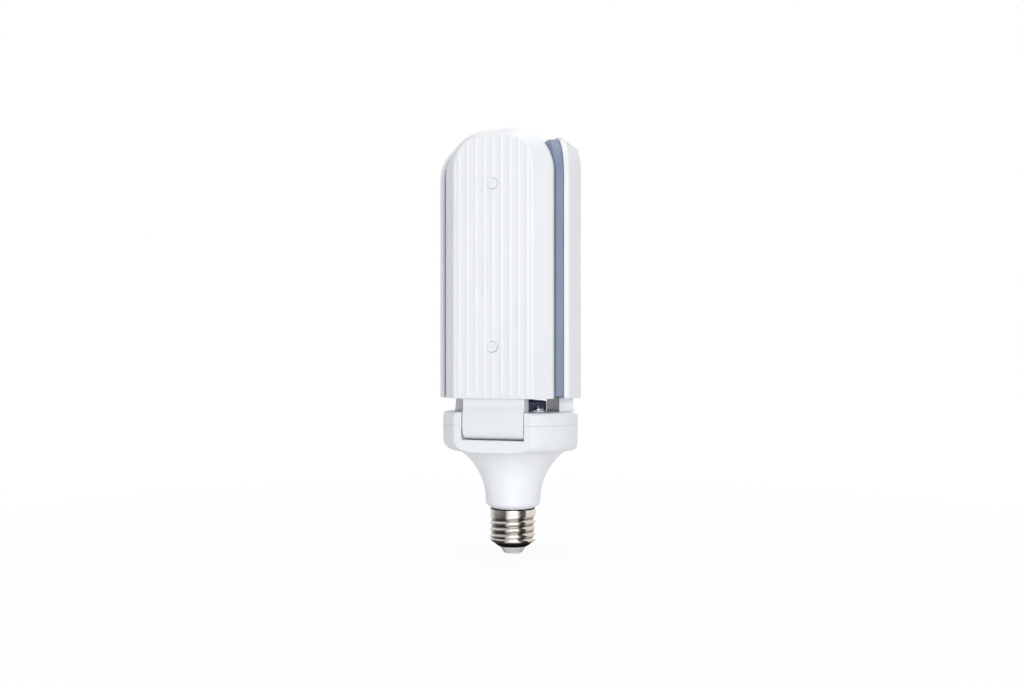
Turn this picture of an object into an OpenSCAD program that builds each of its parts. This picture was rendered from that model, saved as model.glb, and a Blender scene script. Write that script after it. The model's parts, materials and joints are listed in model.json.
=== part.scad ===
// Folding three-leaf LED bulb with an E27 screw cap, standing cap down with its leaves folded shut.
// Millimetres, +Z up. The origin is the middle of the centre contact's flat tip.
// The first leaf faces -Y and the other two stand 120 degrees on, round the Z axis.
// Each leaf sits a little to one side of its arm.

/* [E27 cap] */
// Height of the whole cap, from the contact's tip to the top of the skirt
cap_h = 26; // [25:0.1:27]
// Diameter over the crests of the rolled thread
cap_thread_d = 26.2; // [26.05:0.01:26.45]
// Diameter at the root of the thread
cap_root_d = 24.4; // [24.26:0.01:24.66]
// Rise of the thread in one turn
cap_pitch = 3.63; // [3.6:0.01:3.66]
// Height at which the thread runs out into the rounded lower lip
cap_thread_z0 = 8.2; // [8:0.1:9.5]
// Height at which the thread runs out into the plain skirt
cap_thread_z1 = 22.4; // [21.5:0.1:23]
// Angle by which the thread is turned round the axis
cap_thread_turn = 40; // [0:5:355]
// Thickness of the cap's shell
cap_wall = 0.5; // [0.3:0.05:0.6]
// Diameter of the hole that the lower lip leaves for the insulator
cap_lip_d = 22.4; // [21.5:0.1:23]
// Diameter of the contact where it meets the insulator
contact_d = 14.2; // [12:0.1:15]
// Diameter of the contact's flat tip
contact_tip_d = 10.6; // [8:0.1:11]
// Height of the contact
contact_h = 3.5; // [2.5:0.1:4]

/* [Neck] */
// Height of the neck between the cap and the base
neck_h = 32.4; // [31:0.1:36]
// Gap between the cap's skirt and the neck's lower face
neck_gap = 0.6; // [0.4:0.1:1]
// Diameter of the neck at its narrowest
neck_d = 31.2; // [31:0.1:33]
// Radius of the rounding at the neck's lower end
neck_round_r = 3.2; // [3.1:0.1:4]
// Height of that rounding
neck_round_h = 3.1; // [2.6:0.1:3.1]
// Length of the straight part above the rounding
neck_straight_h = 0.2; // [0.1:0.1:2]
// Radius of the hollow flare
neck_flare_r = 35.3; // [32:0.1:38]

/* [Base housing] */
// Diameter over the three lobes
base_d = 79.6; // [78:0.1:84]
// Height of the base, with its cover
base_h = 22; // [21:0.1:24]
// Height of the parting seam above the bottom of the base
seam_h = 14.9; // [14.5:0.1:16]
// Distance from the axis to each of the three flats
flat_r = 32.7; // [32.5:0.1:33.2]
// Radius of the rounded lower edge
base_bottom_r = 6.5; // [5:0.1:7]
// Radius of the rounded upper edge
base_top_r = 2; // [1:0.1:2.5]
// Wall of the base and the neck
base_wall = 2; // [1.6:0.1:2.2]
// Width of each notch that takes a hinge arm
notch_w = 36.6; // [36.4:0.1:37]
// Thickness of the cheeks at both sides of a notch
cheek_w = 5.7; // [5:0.1:6]
// Thickness of the floor and the inner wall of a notch
pocket_wall = 1.6; // [1.2:0.1:2]

/* [Hinges] */
// Radius of the arm's knuckle, which is also half of the arm's thickness
knuckle_r = 4.5; // [4.3:0.1:4.7]
// Height of the knuckle's axis above the bottom of the base
hinge_h = 11.9; // [11:0.1:12.4]
// Distance from the flat back to the front face of the closed arm
arm_inset = 0.5; // [0.4:0.1:0.8]
// Depth by which the arm's front steps back above the base
arm_step = 1; // [0.6:0.1:1.4]
// Clearance between the knuckle and the walls of its notch
knuckle_gap = 0.6; // [0.4:0.1:0.8]
// Diameter of a hinge pin
pin_d = 3.8; // [3:0.1:4.2]
// Radial clearance of a pin in the arm
pin_clearance = 0.05; // [0.03:0.01:0.08]
// Thickness of a friction washer
washer_t = 0.6; // [0.4:0.05:0.9]
// Diameter of a friction washer
washer_d = 8.4; // [8:0.1:8.6]
// Play beside a friction washer
washer_play = 0.1; // [0.05:0.01:0.2]
// Thickness of the tongue that runs from the arm into the leaf
tang_t = 2.9; // [2.5:0.1:3.2]
// Step from each side of the arm to the tongue
tang_step = 3.1; // [2:0.1:5]
// Height of that tongue above the leaf's lower end
tang_h = 35; // [33:0.5:38]

/* [Leaves] */
// Gap between the base's cover and the leaves
leaf_gap = 7.6; // [7.3:0.1:9]
// Length of a leaf
leaf_h = 147.6; // [140:0.1:160]
// Width of a leaf over its rim
leaf_w = 62.8; // [61:0.2:64]
// Distance from the middle of a leaf to the middle of its arm
leaf_offset = 1; // [0:0.1:1.2]
// Width of the leaf's ribbed face
face_w = 45.4; // [42:0.2:46]
// Distance from the axis to the ribbed face of a closed leaf
face_r = 35.1; // [35:0.1:36]
// Distance from the axis to the rim of a closed leaf
rim_r = 23.2; // [23:0.1:24]
// Depth of the straight side wall behind the rim
side_h = 2.9; // [2.5:0.1:3.5]
// Drop of the face below the top of the rim
face_drop = 5.6; // [4.5:0.1:7.5]
// Corner radius at the top of the rim
rim_corner_r = 24.5; // [20:0.5:28]
// Corner radius at the top of the face
face_corner_r = 15.6; // [12:0.2:18]
// Wall of the leaf's shell
shell_wall = 1.8; // [1.5:0.1:2]
// Number of ribs on the face
rib_count = 9; // [5:1:9]
// Distance between ribs
rib_pitch = 4.95; // [4.7:0.05:5]
// Width of a rib
rib_w = 2.6; // [2:0.1:3]
// Height of a rib
rib_h = 0.4; // [0.2:0.05:0.6]
// Height of the plain strip below the ribs
rib_foot = 1.6; // [1:0.1:3]

/* [Diffusers] */
// Distance from a diffuser to the plane midway to its closed neighbour
diffuser_gap = 0.6; // [0.4:0.1:1.2]
// Step between the rim's edge and the diffuser's edge
diffuser_inset = 1.1; // [1:0.1:1.5]
// Width of the slanted edge along the sides of a diffuser
diffuser_bevel_w = 7.5; // [7.4:0.1:9]
// Height of the slanted edge at the top of a diffuser
diffuser_bevel_top = 4; // [3:0.1:5]
// Wall of a diffuser
diffuser_wall = 1.4; // [1:0.1:1.6]
// Depth of the skirt that locates a diffuser in the shell
skirt_h = 1.6; // [1.2:0.1:1.8]
// Clearance between that skirt and the shell
skirt_clearance = 0.2; // [0.1:0.05:0.3]

/* [Leaf boards] */
// Distance from the rim to the front of the LED board
board_depth = 2.2; // [2:0.1:2.4]
// Thickness of the LED board
board_t = 1.6; // [1:0.1:1.6]
// Step between the leaf's outline and the board's
board_inset = 4.2; // [4:0.1:5]
// Columns of LEDs on a leaf
led_columns = 4; // [2:2:4]
// Rows of LEDs on a leaf
led_rows = 10; // [6:1:10]
// Distance between columns
led_column_pitch = 12.4; // [11:0.1:13]
// Distance between rows
led_row_pitch = 13.6; // [11:0.1:13.6]
// Length, width and height of an LED package
led_size = [3.5, 2.8, 0.7];

/* [Leaf screws] */
// Height of the lower screw above the leaf's lower end
screw_low_h = 28.1; // [26:0.1:29]
// Height of the upper screw above the leaf's lower end
screw_high_h = 116.3; // [110:0.1:118]
// Diameter of a screw plug
plug_d = 6; // [5.6:0.1:6.4]
// Height by which a plug stands proud of the face
plug_proud = 0.3; // [0.1:0.05:0.4]
// Thickness of a plug
plug_t = 1.2; // [1:0.1:1.3]
// Depth of the face's hole down to the screw's seat
seat_depth = 2.6; // [2.4:0.1:2.6]
// Diameter of the screw's shank
leaf_screw_d = 2.2; // [2:0.1:2.4]
// Diameter of the screw's head
leaf_screw_head_d = 4.6; // [4.2:0.1:5]
// Height of the screw's head
leaf_screw_head_h = 1.6; // [1.4:0.05:1.65]
// Length of the screw's shank
leaf_screw_l = 13; // [11:0.1:13.5]

/* [Centre light] */
// Outer diameter of the round lens
lens_d = 37; // [34:0.5:38]
// Height of the lens above the cover
lens_h = 6.8; // [6:0.1:7]
// Rise of the lens's crown over its straight side
lens_rise = 1.2; // [0.8:0.1:4]
// Wall of the lens
lens_wall = 1.5; // [1.2:0.1:1.8]
// Depth of the groove that seats the lens
lens_seat = 0.8; // [0.5:0.1:1]
// Thickness of the round LED board
centre_board_t = 1.2; // [1:0.1:1.6]
// LEDs in the ring on the round board
centre_led_count = 8; // [4:1:10]
// Radius of that ring
centre_led_r = 10.5; // [9:0.1:11]

/* [Cover screws] */
// Gap between the lens and the head of a cover screw
cover_screw_gap = 0.7; // [0.5:0.1:2]
// Diameter of its shank
cover_screw_d = 2.6; // [2.2:0.1:3]
// Diameter of its round head
cover_screw_head_d = 6; // [5:0.1:6.4]
// Height of its round head
cover_screw_head_h = 2.6; // [2:0.1:3]
// Length of its shank
cover_screw_l = 13; // [11:0.1:15]
// Height of the boss that it sits on
cover_boss_h = 0.8; // [0.5:0.1:1]

/* [Driver] */
// Width of the driver board
driver_w = 25; // [22:0.2:25.4]
// Length of the driver board
driver_l = 37; // [35:0.5:37.5]
// Thickness of the driver board
driver_t = 1.6; // [1.2:0.1:1.8]
// Height of the board's lower edge above the neck's lower end
driver_lift = 3; // [2:0.1:4]
// Width, depth and height of the transformer's ferrite core
transformer_core = [14, 6, 12];
// Depth of the winding on the core
winding_t = 11; // [8:0.5:12]
// Diameter of the smoothing capacitor
capacitor_d = 10; // [8:0.1:10.4]
// Length of the smoothing capacitor
capacitor_l = 15; // [12:0.1:16]
// Diameter of the insulated leads
lead_d = 1.8; // [1.4:0.1:2]

/* [Hidden] */
LEAF_PARTS = ["hinge_arm", "leaf_shell", "leaf_board", "leaf_leds", "diffuser", "leaf_screws",
    "screw_plugs", "hinge_pin", "friction_washers"];

$fn = 64;
// Margin by which a cutting body runs past the face that it cuts
over = 1;
// Colours
white = [0.93, 0.94, 0.95];
frosted_blue = [0.55, 0.60, 0.68];
nickel = [0.76, 0.74, 0.71];
steel = [0.62, 0.63, 0.65];

// Heights on the axis
neck_z = cap_h + neck_gap;
base_z = neck_z + neck_h;
seam_z = base_z + seam_h;
cover_z = base_z + base_h;
leaf_z = cover_z + leaf_gap;
leaf_top_z = leaf_z + leaf_h;

// Hinge
arm_face_r = flat_r - arm_inset;
pivot_r = arm_face_r - knuckle_r;
pivot_z = base_z + hinge_h;
arm_back_r = pivot_r - knuckle_r;
arm_neck_r = arm_face_r - arm_step;
notch_back_r = arm_back_r - knuckle_gap;
notch_floor_z = pivot_z - knuckle_r - knuckle_gap;
pin_end_cover = 1;
pin_l = notch_w + 2 * (cheek_w - pin_end_cover);
saddle_r = pin_d / 2 + pin_clearance;
arm_w = notch_w - 2 * (washer_t + washer_play);
tang_w = arm_w - 2 * tang_step;
saddle_l = pin_l + 0.2;
tang_r = arm_neck_r - tang_t;
cover_screw_r = (lens_d + cover_screw_head_d) / 2 + cover_screw_gap;
step_z0 = cover_z - 0.6;
step_z1 = cover_z + 3;
lead_hole_d = 4;
lead_hole_z = seam_z + 2.4;
lead_way = [9, 2.6];
lead_way_r = (arm_back_r + tang_r) / 2;

// Leaf
rim_inside_r = rim_r + side_h;
screw_heights = [leaf_z + screw_low_h, leaf_z + screw_high_h];
board_front_r = rim_r + board_depth;
board_back_r = board_front_r + board_t;
plain_face_r = face_r - rib_h;
seat_r = face_r - seat_depth;
boss_d = plug_d + 3.2;
hole_gap = 0.1;
diffuser_side_r = (leaf_w / 2 - diffuser_inset + leaf_offset + diffuser_gap) / tan(60);
diffuser_r = diffuser_side_r - diffuser_bevel_w / tan(60);
diffuser_side_h = rim_r - diffuser_side_r;
diffuser_foot = 0.9;

// Cap and neck
lip_round = 2;
lip_z = cap_thread_z0 - lip_round;
cap_inner_r = cap_root_d / 2 - cap_wall;
skirt_inner_r = cap_thread_d / 2 - cap_wall;
skirt_z = cap_thread_z1 + 1;
insulator_z1 = cap_thread_z0 + 1.2;
spigot_gap = 0.1;
spigot_r = cap_inner_r - spigot_gap;
spigot_wall = 1.6;
spigot_z0 = insulator_z1 + 0.4;
base_r = base_d / 2;
neck_r = neck_d / 2;
flare_z = neck_z + neck_round_h + neck_straight_h;

// Driver
driver_z = neck_z + driver_lift;
driver_face_y = driver_t / 2;
driver_back_y = -driver_t / 2;

// Points along an arc about c, from angle a0 to a1
function arc(c, r, a0, a1, n) =
    [for (i = [0:n]) let (a = a0 + (a1 - a0) * i / n) [c[0] + r * cos(a), c[1] + r * sin(a)]];

// Outline of a leaf seen on its face: square at the bottom, round corners at the top
function leaf_outline(half_w, bottom, top, corner_r) = concat(
    [[-half_w, bottom], [half_w, bottom]],
    arc([half_w - corner_r, top - corner_r], corner_r, 0, 90, 12),
    arc([corner_r - half_w, top - corner_r], corner_r, 90, 180, 12));

// Radius of the hollow flare at height z above the narrowest ring
function flare_r(z) = neck_r + neck_flare_r - sqrt(pow(neck_flare_r, 2) - pow(z, 2));

// Places at the middle of an arm, and at the middle of its leaf
module at_arm(i) { rotate([0, 0, 120 * i]) children(); }
module at_leaf(i) { at_arm(i) translate([leaf_offset, 0, 0]) children(); }

// Slab of a leaf, its outline drawn as width and height, between two distances from the axis
module slab(outline, r0, r1) {
    translate([0, -r0, 0]) rotate([90, 0, 0]) linear_extrude(r1 - r0) polygon(outline);
}

// Round bar that points away from the axis
module radial_bar(d, r0, r1, z) {
    translate([0, -r0, z]) rotate([90, 0, 0]) cylinder(d = d, h = r1 - r0);
}

// Round bar along a hinge axis
module hinge_bar(r, l) {
    translate([0, -pivot_r, pivot_z]) rotate([0, 90, 0]) cylinder(r = r, h = l, center = true);
}

// Profile drawn as distance and height, run along the width of a leaf
module across(w) { rotate([90, 0, -90]) linear_extrude(w, center = true) children(); }

// Prism with the base's three flats
module flats(inset, z0, z1) {
    translate([0, 0, z0]) rotate([0, 0, 90]) cylinder(r = 2 * (flat_r - inset), h = z1 - z0, $fn = 3);
}

// Solid of the base and the neck, drawn in by inset, with its flats
module base_form(inset) {
    r = base_r - inset;
    bottom_r = base_bottom_r - inset / 2;
    top_r = max(base_top_r - inset, 0.1);
    z0 = base_z + inset;
    z1 = cover_z - inset;
    intersection() {
        rotate_extrude($fn = 96) polygon(concat(
            [[0, z1], [0, z0], [r - bottom_r, z0]],
            arc([r - bottom_r, z0 + bottom_r], bottom_r, -90, 0, 8),
            arc([r - top_r, z1 - top_r], top_r, 0, 90, 4)));
        flats(inset, z0 - over, z1 + over);
    }
}

// Solid of the neck, drawn in by inset, which runs on through the floor of the base
module neck_form(inset) {
    flare_h = base_z - flare_z;
    top_z = base_z + base_wall + over;
    rotate_extrude($fn = 96) polygon(concat(
        [[0, top_z], [0, neck_z + inset]],
        arc([neck_r - neck_round_r, neck_z + neck_round_h], neck_round_r - inset,
            -asin(min(1, (neck_round_h - inset) / (neck_round_r - inset))), 0, 6),
        [for (i = [0:12]) [flare_r(flare_h * i / 12) - inset, flare_z + flare_h * i / 12]],
        [[flare_r(flare_h) - inset, top_z]]));
}

// Block round the notch of one leaf, from floor to top
module pocket_block(z0, z1) {
    translate([-notch_w / 2 - cheek_w, -base_r, z0])
        cube([notch_w + 2 * cheek_w, base_r - notch_back_r + pocket_wall, z1 - z0]);
}

module notch() {
    translate([-notch_w / 2, -base_r - over, notch_floor_z])
        cube([notch_w, base_r + over - notch_back_r, base_h]);
}

// Places of the cover screws, in the three lobes
module at_lobes() {
    for (i = [0:2]) rotate([0, 0, 120 * i + 90]) translate([cover_screw_r, 0, 0]) children();
}

// Outer radius of the rolled shell at height z and angle a
function thread_r(z, a) =
    let (
        depth = (cap_thread_d - cap_root_d) / 2,
        fade = min(1, (z - cap_thread_z0) / 1.2, (cap_thread_z1 - z) / 1.2),
        wave = (1 + cos(360 * z / cap_pitch - a - cap_thread_turn)) / 2)
    cap_thread_d / 2 - depth * fade * (1 - wave);

// Rolled sheet-metal shell: curved lip, helical thread and plain skirt
module cap_shell() {
    sides = 48;
    rise = cap_pitch / 8;
    turns_z = [for (z = [cap_thread_z0:rise:cap_thread_z1]) z];
    lip_r = cap_lip_d / 2;
    lip = [for (a = [0:30:60])
        [lip_r + (cap_thread_d / 2 - lip_r) * sin(a), cap_thread_z0 - lip_round * cos(a)]];
    // Each ring is a list of radii round the axis and a height
    rings = concat(
        [for (p = lip) [[for (i = [0:sides - 1]) p[0]], p[1]]],
        [for (z = turns_z) [[for (i = [0:sides - 1]) thread_r(z, 360 * i / sides)], z]],
        [[[for (i = [0:sides - 1]) cap_thread_d / 2], cap_thread_z1 + 0.3],
            [[for (i = [0:sides - 1]) cap_thread_d / 2], cap_h],
            [[for (i = [0:sides - 1]) skirt_inner_r], cap_h],
            [[for (i = [0:sides - 1]) skirt_inner_r], skirt_z],
            [[for (i = [0:sides - 1]) cap_inner_r], skirt_z - cap_wall],
            [[for (i = [0:sides - 1]) cap_inner_r], lip_z + cap_wall * 2],
            [[for (i = [0:sides - 1]) lip_r], lip_z + cap_wall]]);
    count = len(rings);
    points = [for (ring = rings, i = [0:sides - 1])
        let (a = 360 * i / sides) [ring[0][i] * cos(a), ring[0][i] * sin(a), ring[1]]];
    faces = [for (j = [0:count - 1], i = [0:sides - 1], half = [0:1])
        let (
            low = j * sides,
            high = (j + 1) % count * sides,
            next = (i + 1) % sides)
        half == 0 ? [low + i, high + i, high + next] : [low + i, high + next, low + next]];
    color(nickel) polyhedron(points, faces);
}

// Black glass insulator between the shell and the contact
module cap_insulator() {
    lip_r = cap_lip_d / 2;
    // The glass swells a little between the contact and the lip, on an arc about this point
    middle = [contact_d / 2 - 1.5, lip_z + 3.75];
    swell_r = norm([contact_d / 2, contact_h] - middle);
    color([0.06, 0.06, 0.07]) rotate_extrude() polygon(concat(
        [[lead_d / 2 + 0.2, insulator_z1], [lead_d / 2 + 0.2, contact_h]],
        arc(middle, swell_r, atan2(contact_h - middle[1], 1.5),
            -acos((lip_r - 0.1 - middle[0]) / swell_r), 6),
        [[lip_r - 0.1, lip_z + cap_wall * 2 + 0.05], [spigot_r, lip_z + cap_wall * 2 + 0.05],
            [spigot_r, insulator_z1]]));
}

// Centre contact, a shallow cone with a stem for the live lead
module cap_contact() {
    color([0.80, 0.83, 0.85]) rotate_extrude() polygon([
        [0, 0], [contact_tip_d / 2 - 0.4, 0], [contact_tip_d / 2, 0.3],
        [contact_d / 2, contact_h - 0.4], [contact_d / 2, contact_h], [0, contact_h]]);
}

// Spigot in the cap, neck, lower half of the base, notches and pin saddles in one moulding
module lower_housing() {
    rail_w = 3;
    rail_h = 13;
    rib_t = 2;
    boss_z = base_z + base_wall;
    floor_z = neck_z + base_wall;
    color(white) difference() {
        union() {
            difference() {
                union() {
                    neck_form(0);
                    base_form(0);
                }
                neck_form(base_wall);
                base_form(base_wall);
            }
            intersection() {
                base_form(0);
                for (i = [0:2]) at_arm(i) pocket_block(notch_floor_z - pocket_wall, seam_z);
            }
            // Bosses for the cover screws, each held by a rib from the wall of its lobe
            at_lobes() translate([0, 0, boss_z])
                cylinder(d = cover_screw_d + 4.2, h = seam_z - boss_z);
            intersection() {
                at_lobes() translate([0, -rib_t / 2, boss_z - over])
                    cube([base_r - cover_screw_r, rib_t, seam_z - boss_z + over]);
                base_form(base_wall / 2);
            }
            // Rails for the driver board
            for (side = [-1, 1]) intersection() {
                translate([side * (driver_w / 2 + 0.6), 0, driver_z + 1 + rail_h / 2])
                    cube([rail_w, driver_t + 3.2, rail_h], center = true);
                neck_form(base_wall / 2);
            }
            translate([0, 0, spigot_z0]) cylinder(r = spigot_r, h = floor_z - spigot_z0);
            translate([0, 0, skirt_z + 0.1])
                cylinder(r = skirt_inner_r - spigot_gap, h = floor_z - skirt_z - 0.1);
        }
        translate([0, 0, spigot_z0 - over])
            cylinder(r = spigot_r - spigot_wall, h = floor_z - spigot_z0 + 2 * over);
        translate([-base_d / 2, -base_d / 2, seam_z]) cube([base_d, base_d, base_h]);
        for (i = [0:2]) at_arm(i) {
            notch();
            hinge_bar(saddle_r, saddle_l);
            // Slot through which the pin drops into its saddles
            translate([-saddle_l / 2, -pivot_r - saddle_r, pivot_z])
                cube([saddle_l, 2 * saddle_r, seam_h]);
        }
        at_lobes() translate([0, 0, seam_z - cover_screw_l + 1])
            cylinder(d = cover_screw_d, h = cover_screw_l);
        translate([0, 0, driver_z + driver_l / 2 - 0.1])
            cube([driver_w + 0.3, driver_t + 0.2, driver_l + 0.2], center = true);
    }
}

// Upper cover of the base, with the tongues that hold the pins down
module upper_cover() {
    tongue_gap = 0.1;
    tongue_w = (saddle_l - notch_w) / 2 - 4 * tongue_gap;
    tongue_u = (saddle_l + notch_w) / 4;
    color(white) difference() {
        union() {
            difference() {
                base_form(0);
                base_form(base_wall);
                translate([-base_d / 2, -base_d / 2, base_z - over])
                    cube([base_d, base_d, seam_h + over]);
            }
            intersection() {
                base_form(0);
                for (i = [0:2]) at_arm(i) pocket_block(seam_z, cover_z);
            }
            at_lobes() translate([0, 0, seam_z])
                cylinder(d = cover_screw_d + 4.2, h = cover_z + cover_boss_h - seam_z);
            for (i = [0:2], side = [-1, 1]) at_arm(i)
                translate([side * tongue_u - tongue_w / 2, -pivot_r - saddle_r + tongue_gap, pivot_z])
                    cube([tongue_w, 2 * (saddle_r - tongue_gap), seam_z + over - pivot_z]);
        }
        for (i = [0:2]) at_arm(i) {
            notch();
            hinge_bar(saddle_r, saddle_l);
            radial_bar(lead_hole_d, notch_back_r - pocket_wall - over, notch_back_r + over, lead_hole_z);
        }
        at_lobes() cylinder(d = cover_screw_d + 0.4, h = cover_z + base_h);
        // Groove for the lens, and the way for the round board's leads
        translate([0, 0, cover_z - lens_seat]) difference() {
            cylinder(d = lens_d + 0.2, h = lens_seat + over);
            translate([0, 0, -over]) cylinder(d = lens_d - 2 * lens_wall - 0.2, h = lens_seat + 3 * over);
        }
        cylinder(d = lead_hole_d, h = cover_z + over);
    }
}

// Round-headed screws that close the base
module cover_screws() {
    head_z = cover_z + cover_boss_h;
    color(steel) at_lobes() difference() {
        translate([0, 0, head_z]) union() {
            translate([0, 0, -cover_screw_l]) cylinder(d = cover_screw_d, h = cover_screw_l);
            rotate_extrude() polygon(concat([[0, 0], [cover_screw_head_d / 2, 0]],
                [for (a = [0:15:90])
                    [cover_screw_head_d / 2 * cos(a), 0.4 + (cover_screw_head_h - 0.4) * sin(a)]]));
        }
        for (turn = [0, 90]) rotate([0, 0, turn])
            translate([0, 0, head_z + cover_screw_head_h])
                cube([cover_screw_head_d * 0.6, 0.8, 2.4], center = true);
    }
}

module centre_board() {
    color([0.9, 0.91, 0.92]) translate([0, 0, cover_z]) difference() {
        cylinder(d = lens_d - 2 * lens_wall - 1, h = centre_board_t);
        translate([0, 0, -over]) cylinder(d = lead_hole_d, h = centre_board_t + 2 * over);
    }
}

module centre_leds() {
    color([0.95, 0.85, 0.4]) for (i = [0:centre_led_count - 1])
        rotate([0, 0, 360 * i / centre_led_count])
            translate([centre_led_r, 0, cover_z + centre_board_t + led_size[2] / 2])
                cube(led_size, center = true);
}

// Frosted dome over the middle of the base
module centre_lens() {
    r = lens_d / 2;
    // Radius of the cap of a sphere that spans the lens
    dome_r = (r * r + lens_rise * lens_rise) / (2 * lens_rise);
    half_angle = asin(r / dome_r);
    module dome(inset) {
        foot_z = cover_z - lens_seat - inset;
        polygon(concat([[0, foot_z], [r - inset, foot_z]],
            [for (i = [0:8]) let (a = half_angle * (1 - i / 8))
                [(r - inset) * sin(a) / sin(half_angle),
                    cover_z + lens_h - dome_r + (dome_r - inset) * cos(a)]]));
    }
    color(frosted_blue) rotate_extrude() difference() {
        dome(0);
        dome(lens_wall);
    }
}

module driver_board() {
    color([0.16, 0.42, 0.25]) translate([-driver_w / 2, driver_back_y, driver_z])
        cube([driver_w, driver_t, driver_l]);
}

// Smoothing capacitor standing on the board's front
module driver_capacitor() {
    z = driver_z + driver_l - capacitor_d / 2 - 1;
    color([0.12, 0.13, 0.2]) translate([-6, driver_face_y, z]) rotate([-90, 0, 0]) union() {
        cylinder(d = capacitor_d, h = capacitor_l - 3);
        translate([0, 0, capacitor_l - 3]) cylinder(d = capacitor_d - 1, h = 1);
        translate([0, 0, capacitor_l - 2]) cylinder(d = capacitor_d, h = 2);
    }
}

// Ferrite core with the winding round its middle leg
module driver_transformer() {
    core = transformer_core;
    window_w = core[0] * 2 / 7;
    window_h = core[2] * 2 / 3;
    leg_w = window_w * 0.9;
    winding = [leg_w + 2 * window_w - 0.4, winding_t, window_h - 0.2];
    middle_z = driver_z + driver_l - core[2] / 2 - 1;
    color([0.2, 0.2, 0.22]) translate([core[0] / 2 - 0.5, driver_face_y + winding_t / 2, middle_z]) {
        difference() {
            cube(core, center = true);
            for (side = [-1, 1]) translate([side * (leg_w + window_w) / 2, 0, 0])
                cube([window_w, core[1] + over, window_h], center = true);
        }
        difference() {
            cube(winding, center = true);
            cube([leg_w + 0.2, core[1] + 0.2, window_h], center = true);
        }
    }
}

module driver_rectifier() {
    color([0.1, 0.1, 0.11]) translate([0, driver_back_y - 1.3, driver_z + driver_l * 0.38])
        cube([6.4, 2.6, 4.8], center = true);
}

// Fusible resistor at the cap end
module driver_fuse() {
    color([0.25, 0.5, 0.35]) translate([-5, driver_back_y - 2, driver_z + 6]) rotate([0, 90, 0]) union() {
        cylinder(r = 1.6, h = 9, center = true);
        for (side = [-1, 1]) translate([0, 0, side * 3.6]) cylinder(r = 2, h = 1.8, center = true);
    }
}

module driver_film_capacitor() {
    color([0.75, 0.2, 0.15]) translate([4, driver_face_y + 2.5, driver_z + 8])
        cube([10, 5, 7], center = true);
}

// Small drum choke
module driver_choke() {
    color([0.3, 0.22, 0.16]) translate([-6, driver_face_y, driver_z + 8]) rotate([-90, 0, 0]) union() {
        cylinder(d = 7, h = 1.2);
        cylinder(d = 5.4, h = 7);
        translate([0, 0, 5.8]) cylinder(d = 7, h = 1.2);
    }
}

module driver_chip() {
    color([0.1, 0.1, 0.11]) translate([0, driver_back_y - 0.85, driver_z + driver_l * 0.65]) union() {
        cube([5, 1.7, 4], center = true);
        for (side = [-1, 1], k = [-1.5:1:1.5]) translate([side * 3, 0.65, k])
            cube([1.4, 0.4, 0.5], center = true);
    }
}

// Straight lead from the board down to the centre contact
module live_lead() {
    color([0.7, 0.1, 0.1]) translate([0, 0, contact_h]) cylinder(d = lead_d, h = driver_z - contact_h);
}

// Lead from the board out to the inside of the cap's shell
module neutral_lead() {
    foot_r = spigot_r - spigot_wall - lead_d / 2 - 0.1;
    color([0.15, 0.3, 0.65]) translate([-foot_r, 0, spigot_z0])
        cylinder(d = lead_d, h = driver_z - spigot_z0);
}

// Knuckle, arm and the tongue that carries a leaf
module hinge_arm(i) {
    low_screw_z = screw_heights[0];
    color(white) at_arm(i) difference() {
        union() {
            hinge_bar(knuckle_r, arm_w);
            across(arm_w) polygon([
                [arm_back_r, pivot_z], [arm_face_r, pivot_z], [arm_face_r, step_z0],
                [arm_neck_r, step_z1], [arm_neck_r, leaf_z], [arm_back_r, leaf_z]]);
            across(tang_w) polygon([
                [tang_r, leaf_z - over], [arm_neck_r, leaf_z - over],
                [arm_neck_r, leaf_z + tang_h], [tang_r, leaf_z + tang_h]]);
            translate([leaf_offset, 0, 0])
                radial_bar(boss_d - 1, board_back_r + 0.05, arm_neck_r, low_screw_z);
        }
        hinge_bar(saddle_r, arm_w + 2 * over);
        translate([leaf_offset, 0, 0])
            radial_bar(leaf_screw_d + 0.4, board_back_r - over, arm_neck_r + over, low_screw_z);
        lead_passage(lead_hole_z - lead_hole_d / 2, leaf_z + over);
        translate([-lead_way[0] / 2, -lead_way_r, lead_hole_z - lead_hole_d / 2])
            cube([lead_way[0], lead_way_r - arm_back_r + over, lead_hole_d]);
    }
}

// Upright way for a leaf's leads, between two heights
module lead_passage(z0, z1) {
    translate([-lead_way[0] / 2, -lead_way_r - lead_way[1] / 2, z0])
        cube([lead_way[0], lead_way[1], z1 - z0]);
}

module leaf_form(inset) {
    hull() {
        slab(leaf_outline(leaf_w / 2 - inset, leaf_z + inset, leaf_top_z - inset, rim_corner_r - inset),
            rim_r, rim_inside_r - inset * 0.4);
        slab(leaf_outline(face_w / 2 - inset * 0.7, leaf_z + inset, leaf_top_z - face_drop - inset,
            face_corner_r - inset * 0.7), face_r - inset - 0.1, face_r - inset);
    }
}

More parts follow.
